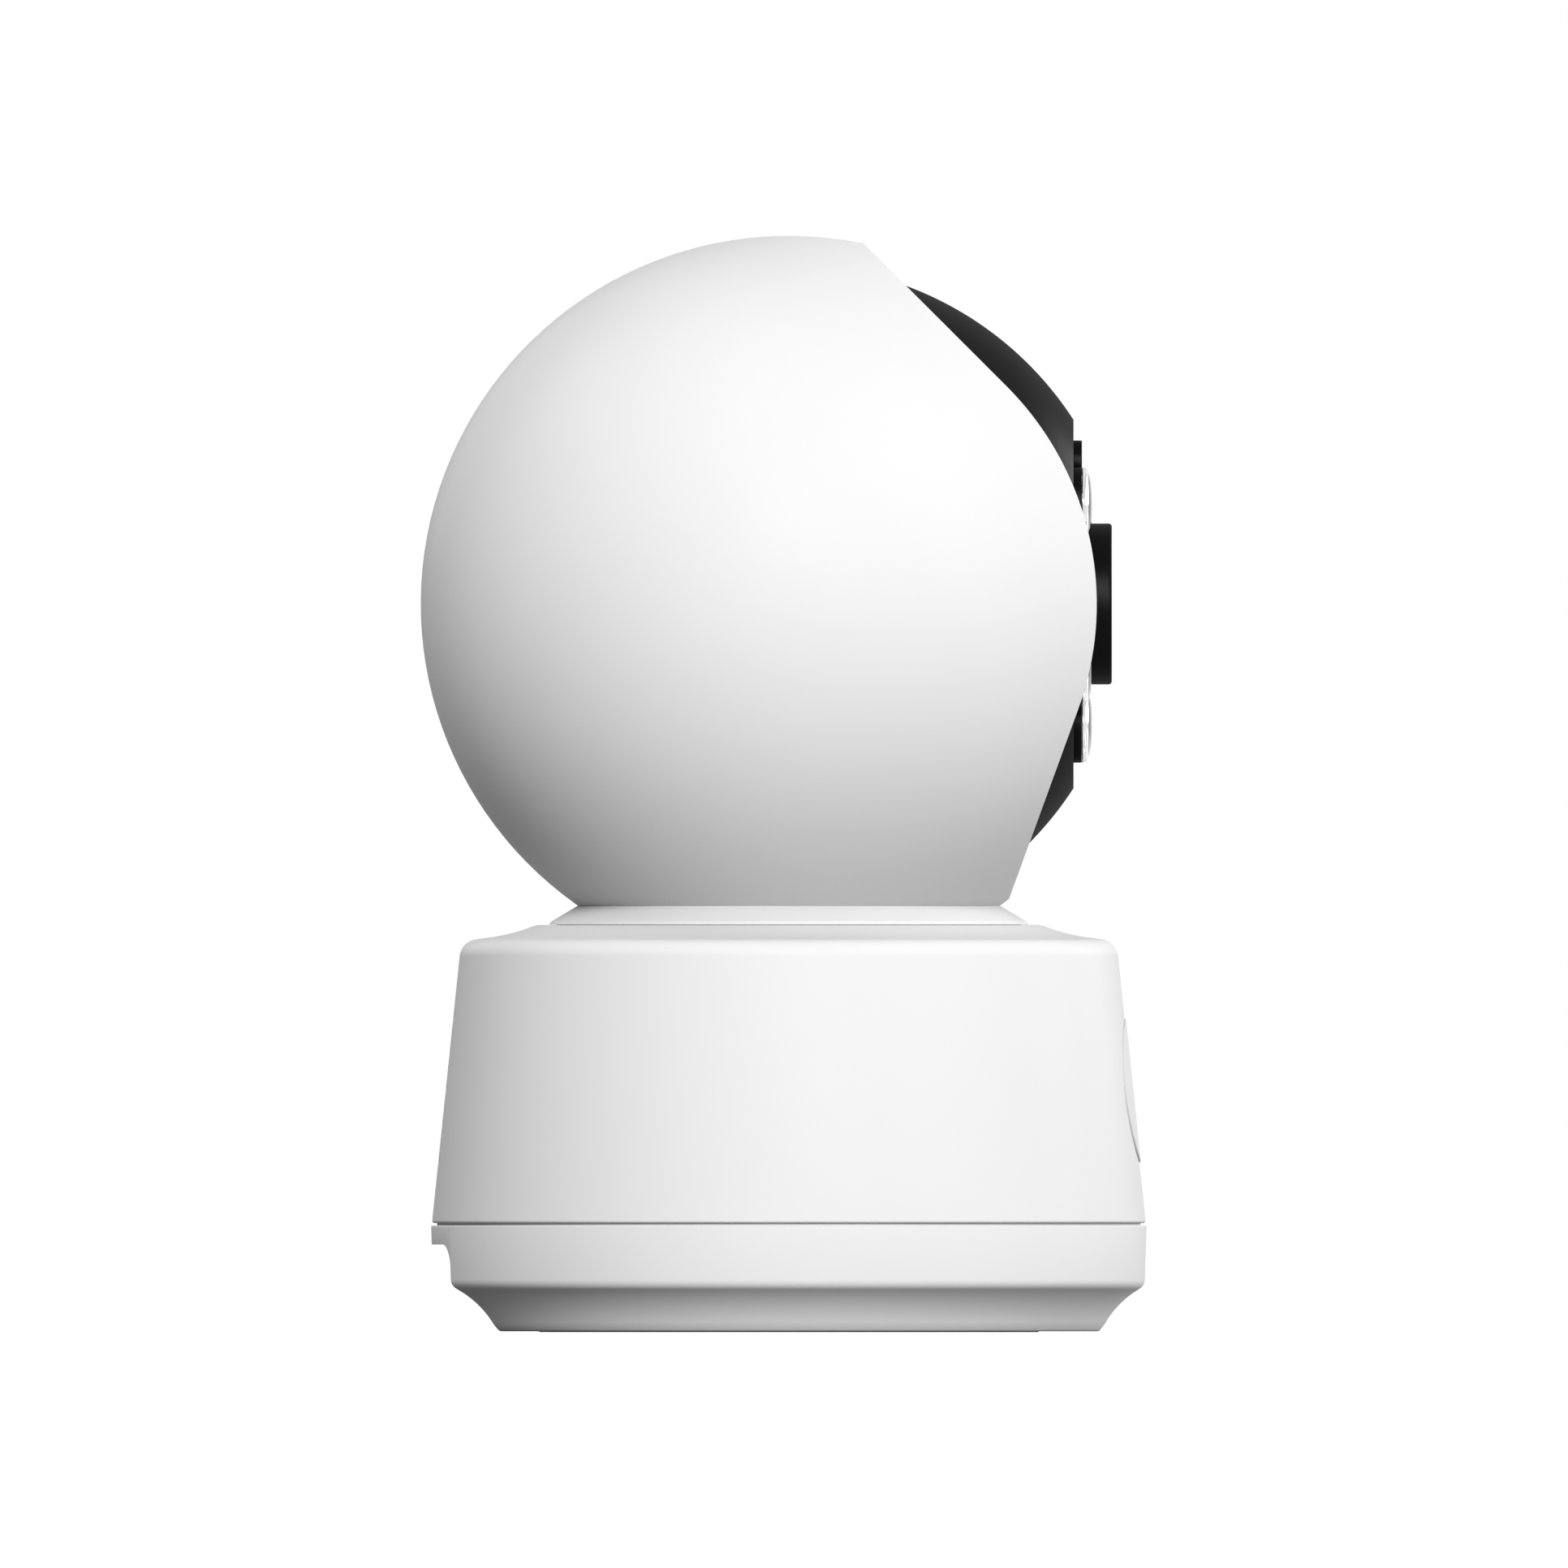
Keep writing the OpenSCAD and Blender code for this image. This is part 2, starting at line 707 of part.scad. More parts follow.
module main_board() {
    color([0.1, 0.35, 0.2]) difference() {
        at_head() union() {
            translate([-16, main_board_y, main_board_low])
                cube([32, board_h, main_board_high - main_board_low]);
            translate([-6, main_board_y + board_h, -14]) cube([12, 1, 12]);
            translate([-4, main_board_y - 2, -21]) cube([8, 2, 3]);
            translate([-14.5, main_board_y - 2, -6]) cube([3, 2, 4]);
            translate([4, main_board_y - 1, -8]) cube([8, 1, 6]);
        }
        for (p = main_screws) at_head() translate([p[0], 20, p[1]])
            rotate([-90, 0, 0]) cylinder(r = clear_r, h = 10);
    }
}

module heatsink() {
    y = main_board_y + board_h + 1;
    color([0.3, 0.3, 0.32]) at_head() {
        translate([-7, y, -15]) cube([14, 1.2, 14]);
        for (i = [0 : 5]) translate([-7 + i * 2.6, y, -15]) cube([1, 5, 14]);
    }
}

module main_board_screws() {
    color("silver") for (p = main_screws) at_head() translate([p[0], main_board_y, p[1]])
        rotate([-90, 0, 0]) screw(4.6);
}

module head_harness() {
    color([0.15, 0.15, 0.15]) {
        cable([
            [0, 0, harness_z], [0, 0, 37.6], [0, 0.7, 38.2], [0, 2, 38.3], [0, 15, 38.3],
            [0, 17.4, 38.3], [0, 18.6, 39.4], [0, 18.8, 43.6], [0, 19.5, 45.2], [0, 20.5, 47.5],
            [0, 21.4, 51], [0, 23.7, 55], [0, 24, 57.2], [0, 24, 58.7]
        ], [1, 0, 0]);
        at_head() cable([
            [-14.5, 24, -4], [-16, 24, -4], [-20, 23.2, -3.4], [-26.5, 20, -1.6], [-33.2, 11, 0],
            [-34.7, 5, 0], [-34.9, 1.6, 0], [-34, 0.2, 0], [-33, 0, 0], [-32.2, 0, 0]
        ], [0, 0, 1]);
    }
}

// ---------- camera ball ----------

// The ball between its cheeks, from distance f0 to f1 along the lens axis.
module ball_slice(r, half, f0, f1) {
    intersection() {
        at_head() sphere(r = r);
        along_lens() translate([-half, -big, f0]) cube([2 * half, 2 * big, f1 - f0]);
    }
}

module ball_front() {
    color([0.06, 0.06, 0.06]) difference() {
        union() {
            difference() {
                ball_slice(ball_r, ball_half, 0, face_f);
                ball_slice(ball_in_r, cheek_in, -5, face_in);
            }
            for (side = [-1, 1]) on_side(side) {
                translate([0, 0, cheek_in]) cylinder(r = ear_r, h = shoulder_end - cheek_in);
                translate([0, 0, shoulder_end]) cylinder(r = stub_r, h = stub_end - shoulder_end);
            }
            along_lens() at_angles(board_posts, board_post_at)
                translate([0, 0, holder_f]) cylinder(r = board_post_r, h = face_in - holder_f + 0.5);
            for (x = [-1, 1], z = [-1, 1]) along_lens()
                translate([x * ball_screw_at[0], z * ball_screw_at[1], 0])
                    cylinder(r = 2.2, h = 8);
            on_side(1) translate([tilt_motor_down + tilt_ear, -tilt_motor_f, cheek_in])
                cylinder(r = 2, h = 2.8);
            for (a = [180 + 45 + stop_angle, 180 - tilt_down - stop_angle])
                at_head() translate([0, peg_at * cos(a), peg_at * sin(a)])
                    rotate([0, -90, 0]) translate([0, 0, cheek_in]) cylinder(r = 1, h = 4.8);
            intersection() {
                on_ball(card_elevation) translate([-13.5, 0.95, 24]) cube([14.7, 1, 14]);
                at_head() sphere(r = ball_in_r + 0.4);
            }
        }
        on_side(-1) translate([0, 0, 20]) cylinder(r = 2.8, h = 20);
        along_lens() translate([0, 0, 25]) {
            cylinder(r = 8, h = 10);
            at_angles(led_angles, led_pitch) cylinder(r = 3.4, h = 10);
            translate([0, sensor_up, 0]) cylinder(r = 2, h = 10);
            translate([0, -17.4, 0]) cylinder(r = 0.5, h = 10);
        }
        along_lens() at_angles(board_posts, board_post_at)
            translate([0, 0, 16]) cylinder(r = thread_r, h = 7);
        for (x = [-1, 1], z = [-1, 1]) along_lens()
            translate([x * ball_screw_at[0], z * ball_screw_at[1], -1])
                cylinder(r = thread_r, h = 8);
        on_side(1) translate([tilt_motor_down, -tilt_motor_f, 20]) cylinder(r = 4.5, h = 10);
        for (t = [-tilt_ear, tilt_ear]) on_side(1)
            translate([tilt_motor_down + t, -tilt_motor_f, 20]) cylinder(r = thread_r, h = 4.2);
        on_ball(card_elevation) translate([card_x - 6.2, -1, 31]) cube([12.4, 2, 10]);
        on_ball(card_elevation) translate([button_x, 0, 31]) cylinder(r = 1.28, h = 10);
    }
}

module ball_rear() {
    color([0.06, 0.06, 0.06]) difference() {
        union() {
            difference() {
                ball_slice(ball_r, ball_half, -back_f, 0);
                ball_slice(ball_in_r, cheek_in, 1.5 - back_f, 1);
            }
            intersection() {
                for (x = [-1, 1], z = [-1, 1]) along_lens()
                    translate([x * ball_screw_at[0], z * ball_screw_at[1], -back_f])
                        cylinder(r = 2.2, h = back_f);
                at_head() sphere(r = ball_r);
            }
        }
        for (side = [-1, 1]) on_side(side)
            translate([0, 0, cheek_in - 1]) cylinder(r = ear_r + 0.05, h = 5);
        for (x = [-1, 1], z = [-1, 1]) along_lens()
            translate([x * ball_screw_at[0], z * ball_screw_at[1], -10]) {
                cylinder(r = clear_r, h = 12);
                cylinder(r = 1.8, h = 3.8);
            }
    }
}

module ball_screws() {
    color("silver") for (x = [-1, 1], z = [-1, 1]) along_lens()
        translate([x * ball_screw_at[0], z * ball_screw_at[1], -6.2]) screw(12);
}

module led_collars() {
    color([0.05, 0.05, 0.05]) along_lens() at_angles(led_angles, led_pitch)
        translate([0, 0, face_f]) ring(led_r, 3.4, collar_h);
}

module led_lenses() {
    plug = 1.4;
    color([0.85, 0.88, 0.9]) along_lens() at_angles(led_angles, led_pitch)
        translate([0, 0, collar_f]) rotate_extrude() polygon(concat(
            [[0, -plug], [3.35, -plug], [3.35, 0]],
            [for (a = [0 : 10 : 90]) [led_r * cos(a), dome_h * sin(a)]]
        ));
}

module light_sensor() {
    color([0.05, 0.05, 0.05]) along_lens() translate([0, sensor_up, 0]) {
        translate([0, 0, face_in]) cylinder(r = 1.95, h = ball_wall);
        translate([0, 0, face_f]) cylinder(r = sensor_r, h = collar_h);
    }
}

module lens_bezel() {
    color([0.05, 0.05, 0.05]) along_lens() rotate_extrude() polygon([
        [bezel_r, face_f], [bezel_r, bezel_f - 0.35], [bezel_r - 0.1, bezel_f - 0.1],
        [bezel_r - 0.35, bezel_f], [7.5, bezel_f], [6.62, 34], [6.62, 33.2], [6.2, 33.2],
        [6.2, 27.5], [7.95, 27.5], [7.95, face_f]
    ]);
}

module front_glass() {
    color([0.3, 0.35, 0.4]) along_lens() translate([0, 0, 33.2]) cylinder(r = 6.6, h = 0.8);
}

module lens_barrel() {
    color([0.1, 0.1, 0.1]) along_lens() rotate_extrude() polygon([
        [2.8, 20.6], [5.9, 20.6], [5.9, 32.7], [5.4, 32.7], [4.9, 31.8], [4.9, 29.6],
        [4.2, 29.6], [4.2, 25.6], [3.4, 25.6], [3.4, 21.4], [2.8, 21.4]
    ]);
}

module lens_elements() {
    color([0.5, 0.6, 0.75]) along_lens() {
        translate([0, 0, 29.6]) intersection() {
            cylinder(r = 4.9, h = 3);
            translate([0, 0, -4.6]) sphere(r = 7.2);
        }
        translate([0, 0, 25.6]) cylinder(r = 4.2, h = 1.4);
        translate([0, 0, 21.4]) cylinder(r = 3.4, h = 1.6);
    }
}

module lens_holder() {
    color([0.1, 0.1, 0.1]) along_lens() difference() {
        union() {
            translate([-10.5, -7.5, holder_f]) cube([21, 15, 4]);
            translate([-7.5, -7.5, holder_f + 4]) cube([15, 15, 4.5]);
        }
        translate([0, 0, 20.6]) cylinder(r = 5.9, h = 8);
        translate([0, 0, 16]) cylinder(r = 2.7, h = 8);
        translate([-11, -3.4, filter_f]) cube([22, 6.8, filter_h]);
        translate([-4.1, -4.1, 17]) cube([8.2, 8.2, 1.6]);
    }
}

module filter_coil() {
    color([0.7, 0.35, 0.15]) along_lens() translate([-9, 7.5, holder_f]) cube([7, 3.5, 3.6]);
}

module ir_cut_filter() {
    color([0.5, 0.15, 0.2]) along_lens()
        translate([-3, -3, filter_f + 0.25]) cube([11.5, 6, filter_h - 0.5]);
}

module image_sensor() {
    color([0.15, 0.15, 0.2]) along_lens() translate([-4, -4, holder_f]) cube([8, 8, 1]);
}

module camera_board() {
    color([0.1, 0.35, 0.2]) along_lens() difference() {
        union() {
            translate([-20, -17.5, camera_board_f]) cube([40, 30.5, 1]);
            translate([-17.5, 0.5, camera_board_f - 2]) cube([6, 4, 2]);
            translate([2, 2, camera_board_f - 1.2]) cube([9, 9, 1.2]);
        }
        at_angles(board_posts, board_post_at) translate([0, 0, 10]) cylinder(r = clear_r, h = 20);
    }
}

module led_board() {
    color([0.9, 0.9, 0.88]) along_lens() difference() {
        translate([0, 0, led_board_f]) ring(19.4, 8.3, 1);
        at_angles(board_posts, board_post_at)
            translate([0, 0, 25]) cylinder(r = board_post_r + 0.1, h = 10);
        translate([0, -17.4, 25]) cylinder(r = 0.6, h = 10);
    }
}

// A square light chip on the board behind each dome.
module led_chips(angles) {
    along_lens() at_angles(angles, led_pitch)
        translate([-1.7, -1.7, face_in]) cube([3.4, 3.4, 0.9]);
}

module ir_leds() {
    color([0.25, 0.22, 0.3]) led_chips(ir_angles);
}

module white_leds() {
    color([0.95, 0.85, 0.2]) led_chips(white_angles);
}

module board_spacers() {
    color([0.15, 0.15, 0.15]) along_lens() at_angles(board_posts, board_post_at)
        translate([0, 0, holder_f]) ring(2.5, board_post_r + 0.05, led_board_f - holder_f);
}

module camera_board_screws() {
    color("silver") along_lens() at_angles(board_posts, board_post_at)
        translate([0, 0, camera_board_f]) screw(6);
}

module tilt_motor() {
    color([0.75, 0.75, 0.77]) on_side(1) difference() {
        union() {
            translate([tilt_motor_down, -tilt_motor_f, 6]) {
                cylinder(r = tilt_motor_r, h = cheek_in - 6);
                cylinder(r = 4.4, h = cheek_in - 6 + 1.4);
            }
            translate([tilt_motor_down - tilt_ear, -tilt_motor_f - 2, cheek_in - 0.8])
                cube([2 * tilt_ear, 4, 0.8]);
            for (t = [-tilt_ear, tilt_ear])
                translate([tilt_motor_down + t, -tilt_motor_f, cheek_in - 0.8])
                    cylinder(r = 2.2, h = 0.8);
        }
        translate([tilt_motor_down, -tilt_motor_f, 14.5]) cylinder(r = shaft_hole_r, h = 12);
        for (t = [-tilt_ear, tilt_ear])
            translate([tilt_motor_down + t, -tilt_motor_f, 18]) cylinder(r = clear_r, h = 6);
    }
}

module tilt_motor_screws() {
    color("silver") for (t = [-tilt_ear, tilt_ear]) on_side(1)
        translate([tilt_motor_down + t, -tilt_motor_f, cheek_in - 0.8]) screw(2.9);
}

module tilt_shaft() {
    color("silver") on_side(1) translate([tilt_motor_down, -tilt_motor_f, 15])
        cylinder(r = shaft_r, h = 14.2);
}

module tilt_pinion() {
    color("white") at_head() rotate([0, 90, 0]) rotate(-pinion_angle)
        translate([tilt_distance, 0, tilt_gear_x]) difference() {
            rotate(180 + 180 / tilt_pinion_teeth) linear_extrude(tilt_gear_w)
                gear_outline(tilt_module, tilt_pinion_teeth);
            translate([0, 0, -1]) cylinder(r = shaft_r, h = tilt_gear_w + 2);
        }
}

module card_board() {
    color([0.1, 0.35, 0.2]) on_ball(card_elevation)
        translate([-12.8, 0, 17.5]) cube([17.8, 0.95, 14.5]);
}

module card_socket() {
    color("silver") on_ball(card_elevation) difference() {
        translate([card_x - 6, -1.9, 18.5]) cube([12, 1.9, 14]);
        translate([card_x - 5.6, -1.4, 19.5]) cube([11.2, 0.9, 14]);
    }
}

module reset_switch() {
    color([0.2, 0.2, 0.2]) on_ball(card_elevation) translate([1.2, -1.8, 28]) cube([3.6, 1.8, 5]);
}

module reset_button() {
    color([0.2, 0.2, 0.2]) on_ball(card_elevation) translate([button_x, 0, 33.6]) {
        cylinder(r = 1.2, h = 2.9);
        cylinder(r = 1.9, h = 1);
    }
}

module microphone() {
    color("silver") along_lens() translate([0, -17.4, led_board_f - 1.2]) cylinder(r = 1.6, h = 1.2);
}

module camera_harness() {
    color([0.15, 0.15, 0.15]) at_head() cable([
        [-32.2, 0, 0], [-24, 0, 0], [-21, -0.4, 0.2], [-18, -3, 1], [-15.6, -8, 2],
        [-14.5, -12, 2.5], [-14.5, -14.5, 2.5]
    ], [0, 0, 1]);
}

base_housing();
bottom_tray();
foot_ring();
tripod_insert();
tray_screws();
base_board();
base_board_screws();
power_socket();
speaker();
wifi_antenna();
motor_bracket();
bracket_screws();
pan_motor();
slide_ring();
base_harness();
front_badge();
turntable();
pan_gear();
pan_gear_screws();
head_screws();
head_shell_left();
head_shell_right();
pivot_bushings();
tilt_gear();
main_board();
heatsink();
main_board_screws();
head_harness();
ball_front();
ball_rear();
ball_screws();
led_collars();
led_lenses();
light_sensor();
lens_bezel();
front_glass();
lens_barrel();
lens_elements();
lens_holder();
filter_coil();
image_sensor();
camera_board();
led_board();
ir_leds();
white_leds();
board_spacers();
camera_board_screws();
tilt_motor();
tilt_motor_screws();
card_board();
card_socket();
reset_switch();
microphone();
camera_harness();
pan_shaft();
pan_pinion();
tilt_shaft();
tilt_pinion();
reset_button();
ir_cut_filter();
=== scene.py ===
"""An indoor pan and tilt camera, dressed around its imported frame.

Outlines are in millimetres, as (radius, height) about the axis that the piece is turned on.
The pan axis is +Z, the lens looks along -Y, and the pieces ride on the bodies of the frame.
"""

import json
import math

import bmesh
import bpy
from bpy.props import FloatProperty, FloatVectorProperty, PointerProperty
from mathutils import Matrix, Vector

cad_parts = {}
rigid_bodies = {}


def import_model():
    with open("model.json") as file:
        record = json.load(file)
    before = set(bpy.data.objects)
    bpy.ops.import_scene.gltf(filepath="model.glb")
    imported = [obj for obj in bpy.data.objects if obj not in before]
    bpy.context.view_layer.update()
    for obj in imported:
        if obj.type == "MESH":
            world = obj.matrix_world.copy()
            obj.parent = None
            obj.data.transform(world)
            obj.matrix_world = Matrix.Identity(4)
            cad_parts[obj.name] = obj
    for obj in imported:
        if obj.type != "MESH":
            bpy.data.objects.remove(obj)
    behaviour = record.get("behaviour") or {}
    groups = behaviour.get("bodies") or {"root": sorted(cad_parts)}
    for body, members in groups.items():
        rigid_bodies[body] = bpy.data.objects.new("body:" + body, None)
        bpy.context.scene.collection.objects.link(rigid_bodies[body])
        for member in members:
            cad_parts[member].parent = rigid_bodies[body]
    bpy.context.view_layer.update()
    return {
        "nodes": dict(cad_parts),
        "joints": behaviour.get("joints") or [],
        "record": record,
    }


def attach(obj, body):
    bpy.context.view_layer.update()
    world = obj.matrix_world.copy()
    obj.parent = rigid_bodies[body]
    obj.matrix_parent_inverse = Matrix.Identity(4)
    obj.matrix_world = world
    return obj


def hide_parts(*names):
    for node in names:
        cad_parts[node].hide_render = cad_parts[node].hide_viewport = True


bl_info = {
    "name": "Pan and Tilt Camera",
    "version": (1, 0, 0),
    "blender": (4, 5, 0),
    "location": "View3D > Sidebar > Camera",
    "description": "Builds the outer pieces and the finishes of an indoor pan and tilt camera",
    "category": "Add Mesh",
}

for leftover in list(bpy.data.objects):
    bpy.data.objects.remove(leftover)
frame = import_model()
NODES = frame["nodes"]

MM = 0.001

# The ball turns about the tilt axis, and the head's opening is stretched over its whole travel.
TILT = next(joint for joint in frame["joints"] if joint["name"] == "tilt")
HEAD_Z = round(TILT["pos_m"][2] / MM, 3)
TILT_DOWN, TILT_UP = (abs(limit) for limit in TILT["range_deg"])

# Fineness of turned pieces and of rounded corners, and the angles from which an edge is sharp
# and is shaded so.
TURN_STEPS = 192
CORNER_STEP = math.radians(15)
SHARP_EDGE = math.radians(25)
SHADED_EDGE = math.radians(30)
WELD = 1e-4

# Lays a piece turned about Z along +Y.
LYING = Matrix.Rotation(math.radians(-90), 4, "X")


# ---------- sizes and colours ----------


def length(name, text, default):
    return FloatProperty(name=name, description=text, default=default * MM, unit="LENGTH",
                         precision=5, min=0)


def colour(name, text, default):
    return FloatVectorProperty(name=name, description=text, default=default, subtype="COLOR",
                               size=3, min=0, max=1)


class CameraSizes(bpy.types.PropertyGroup):
    """The sizes of the outer pieces."""

    head_radius: length("Head Radius", "Outer radius of the white head", 40.29)
    head_wall: length("Head Wall", "Wall of the head shells", 2.0)
    neck_height: length("Neck Height", "Height of the head's flat underside", 46.66)
    opening_radius: length("Opening Radius", "Half width of the stretched opening", 22.07)
    ball_radius: length("Ball Radius", "Outer radius of the black ball", 37.12)
    face_distance: length("Face Distance", "Tilt axis to the flat face of the ball", 31.16)
    bezel_radius: length("Bezel Radius", "Outer radius of the lens bezel", 8.81)
    bezel_distance: length("Bezel Distance", "Tilt axis to the front of the bezel", 35.35)
    light_pitch: length("Light Pitch", "Radius of the ring of night lights", 14.04)
    light_radius: length("Light Radius", "Radius of one night light", 4.18)
    base_low_radius: length("Base Low Radius", "Radius of the housing at its lower edge", 39.06)
    base_high_radius: length("Base High Radius", "Radius of the housing at its shoulder", 36.07)
    seam_height: length("Seam Height", "Height of the seam above the tray", 11.95)
    flange_height: length("Flange Height", "Height of the ring on top of the base", 44.57)
    edge_radius: length("Edge Radius", "Rounding of the moulded edges", 0.25)


class CameraColours(bpy.types.PropertyGroup):
    """The colours of the finishes."""

    white_plastic: colour("White Plastic", "Head and base mouldings", (0.88, 0.88, 0.88))
    badge_plastic: colour("Badge Plastic", "Blank disc on the base", (0.65, 0.65, 0.65))
    black_plastic: colour("Black Plastic", "Ball and lens bezel", (0.0015, 0.0015, 0.0016))
    clear_plastic: colour("Clear Plastic", "Domes of the night lights", (0.97, 0.98, 0.98))
    phosphor: colour("Phosphor", "Chips of the white lights", (0.9, 0.72, 0.06))
    solder_mask: colour("Solder Mask", "Green circuit boards", (0.01, 0.11, 0.05))
    screw_steel: colour("Screw Steel", "Screws and shafts", (0.55, 0.55, 0.56))
    brass: colour("Brass", "Tripod insert", (0.72, 0.52, 0.22))
    rubber: colour("Rubber", "Foot ring", (0.035, 0.035, 0.036))


def sizes():
    return bpy.context.scene.camera_sizes


def colours():
    return bpy.context.scene.camera_colours


def mm(value):
    """A size from the panel in millimetres."""
    return value / MM


# ---------- modelling helpers ----------


def deselect_all():
    if bpy.context.object and bpy.context.object.mode != "OBJECT":
        bpy.ops.object.mode_set(mode="OBJECT")
    bpy.ops.object.select_all(action="DESELECT")


def make_active(piece):
    deselect_all()
    piece.select_set(True)
    bpy.context.view_layer.objects.active = piece


def edit_all(piece):
    make_active(piece)
    bpy.ops.object.mode_set(mode="EDIT")
    bpy.ops.mesh.select_all(action="SELECT")


def object_mode():
    bpy.ops.object.mode_set(mode="OBJECT")


def arc(centre, radius, start, end, steps):
    """Points on an arc, with its angles in degrees."""
    angles = [math.radians(start + (end - start) * i / steps) for i in range(steps + 1)]
    return [(centre[0] + radius * math.cos(a), centre[1] + radius * math.sin(a)) for a in angles]


def rounded(corners):
    """A closed outline in which each corner given as (x, y, radius) is rounded."""
    outline = []
    for i, corner in enumerate(corners):
        point = Vector(corner[:2])
        radius = corner[2] if len(corner) > 2 else 0
        if not radius:
            outline.append(tuple(point))
            continue
        before = (Vector(corners[i - 1][:2]) - point).normalized()
        after = (Vector(corners[(i + 1) % len(corners)][:2]) - point).normalized()
        half = before.angle(after) / 2
        reach = radius / math.tan(half)
        centre = point + (before + after).normalized() * radius / math.sin(half)
        start = point + before * reach - centre
        end = point + after * reach - centre
        turn = math.atan2(start.x * end.y - start.y * end.x, start.dot(end))
        steps = max(3, math.ceil(abs(turn) / CORNER_STEP))
        for k in range(steps + 1):
            c, s = math.cos(turn * k / steps), math.sin(turn * k / steps)
            outline.append((centre.x + c * start.x - s * start.y,
                            centre.y + s * start.x + c * start.y))
    return outline


def turned(name, outline, steps=TURN_STEPS):
    """A solid turned about Z. An outline that starts and ends on the axis stays open there."""
    deselect_all()
    bpy.ops.mesh.primitive_circle_add(vertices=len(outline), radius=1, fill_type="NOTHING")
    piece = bpy.context.object
    piece.name = name
    for vert, (radius, height) in zip(piece.data.vertices, outline):
        vert.co = (radius, 0, height)
    bpy.ops.object.mode_set(mode="EDIT")
    if outline[0][0] == 0 and outline[-1][0] == 0:
        mesh = bmesh.from_edit_mesh(piece.data)
        mesh.verts.ensure_lookup_table()
        mesh.edges.remove(mesh.edges.get((mesh.verts[0], mesh.verts[-1])))
        bmesh.update_edit_mesh(piece.data)
    bpy.ops.mesh.select_all(action="SELECT")
    bpy.ops.mesh.spin(steps=steps, angle=math.tau, center=(0, 0, 0), axis=(0, 0, 1))
    bpy.ops.mesh.select_all(action="SELECT")
    bpy.ops.mesh.remove_doubles(threshold=WELD)
    bpy.ops.mesh.normals_make_consistent(inside=False)
    object_mode()
    return piece


def moved(piece, matrix):
    piece.data.transform(matrix)
    return piece


def lens_place(elevation=0):
    """Takes a piece turned about Z to an axis of the ball, with +Z pointing out of it."""
    tip = Matrix.Rotation(math.radians(90 - elevation), 4, "X")
    return Matrix.Translation((0, 0, HEAD_Z)) @ tip


def drum(radius, low, high, steps=48, x=0, y=0):
    """A cutter or post: a plain round bar, which never stays as a piece of its own."""
    deselect_all()
    bpy.ops.mesh.primitive_cylinder_add(vertices=steps, radius=radius, depth=high - low)
    return moved(bpy.context.object, Matrix.Translation((x, y, (low + high) / 2)))


def block(low, high):
    """A cutter or wall: a plain box between two corners."""
    deselect_all()
    bpy.ops.mesh.primitive_cube_add(size=1)
    low, high = Vector(low), Vector(high)
    size = high - low
    return moved(bpy.context.object, Matrix.Translation((low + high) / 2)
                 @ Matrix.Diagonal((*size, 1)))


def joined(pieces):
    make_active(pieces[0])
    for piece in pieces:
        piece.select_set(True)
    if len(pieces) > 1:
        bpy.ops.object.join()
    return bpy.context.object


def carve(piece, cutter):
    """Takes the cutter's volume away from a piece, and deletes the cutter."""
    make_active(piece)
    knife = piece.modifiers.new("Carve", "BOOLEAN")
    knife.operation = "DIFFERENCE"
    knife.solver = "EXACT"
    knife.object = cutter
    bpy.ops.object.modifier_apply(modifier=knife.name)
    bpy.data.objects.remove(cutter)
    return piece


def trim(piece, point, normal):
    """Cuts a piece with a plane, closes it and drops the side that the normal points to."""
    edit_all(piece)
    bpy.ops.mesh.bisect(plane_co=point, plane_no=normal, use_fill=True, clear_outer=True)
    object_mode()


def bevel_edges(piece, wanted, width, segments=3):
    """Rounds the edges that a test on their two ends picks out, where they are sharp."""
    edit_all(piece)
    bpy.ops.mesh.select_all(action="DESELECT")
    mesh = bmesh.from_edit_mesh(piece.data)
    for edge in mesh.edges:
        if len(edge.link_faces) == 2 and edge.calc_face_angle(0) > SHARP_EDGE:
            if wanted(edge.verts[0].co, edge.verts[1].co):
                edge.select_set(True)
    bmesh.update_edit_mesh(piece.data)
    bpy.ops.mesh.bevel(offset=width, segments=segments, affect="EDGES", clamp_overlap=True)
    object_mode()


def copied(piece, name):
    twin = piece.copy()
    twin.data = piece.data.copy()
    twin.name = name
    bpy.context.scene.collection.objects.link(twin)
    return twin


def mirrored(piece, name):
    """A copy on the other side of the plane x = 0, with its faces turned out again."""
    twin = copied(piece, name)
    twin.data.transform(Matrix.Diagonal((-1, 1, 1, 1)))
    twin.data.flip_normals()
    return twin


def complete(piece, body, slot, *replaced):
    """Brings a piece to metres, smooths it, and gives it its finish and its body."""
    piece.data.transform(Matrix.Scale(MM, 4))
    make_active(piece)
    bpy.ops.object.shade_smooth_by_angle(angle=SHADED_EDGE)
    piece.data.materials.clear()
    piece.data.materials.append(finish(slot))
    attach(piece, body)
    if replaced:
        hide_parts(*replaced)


# ---------- finishes ----------


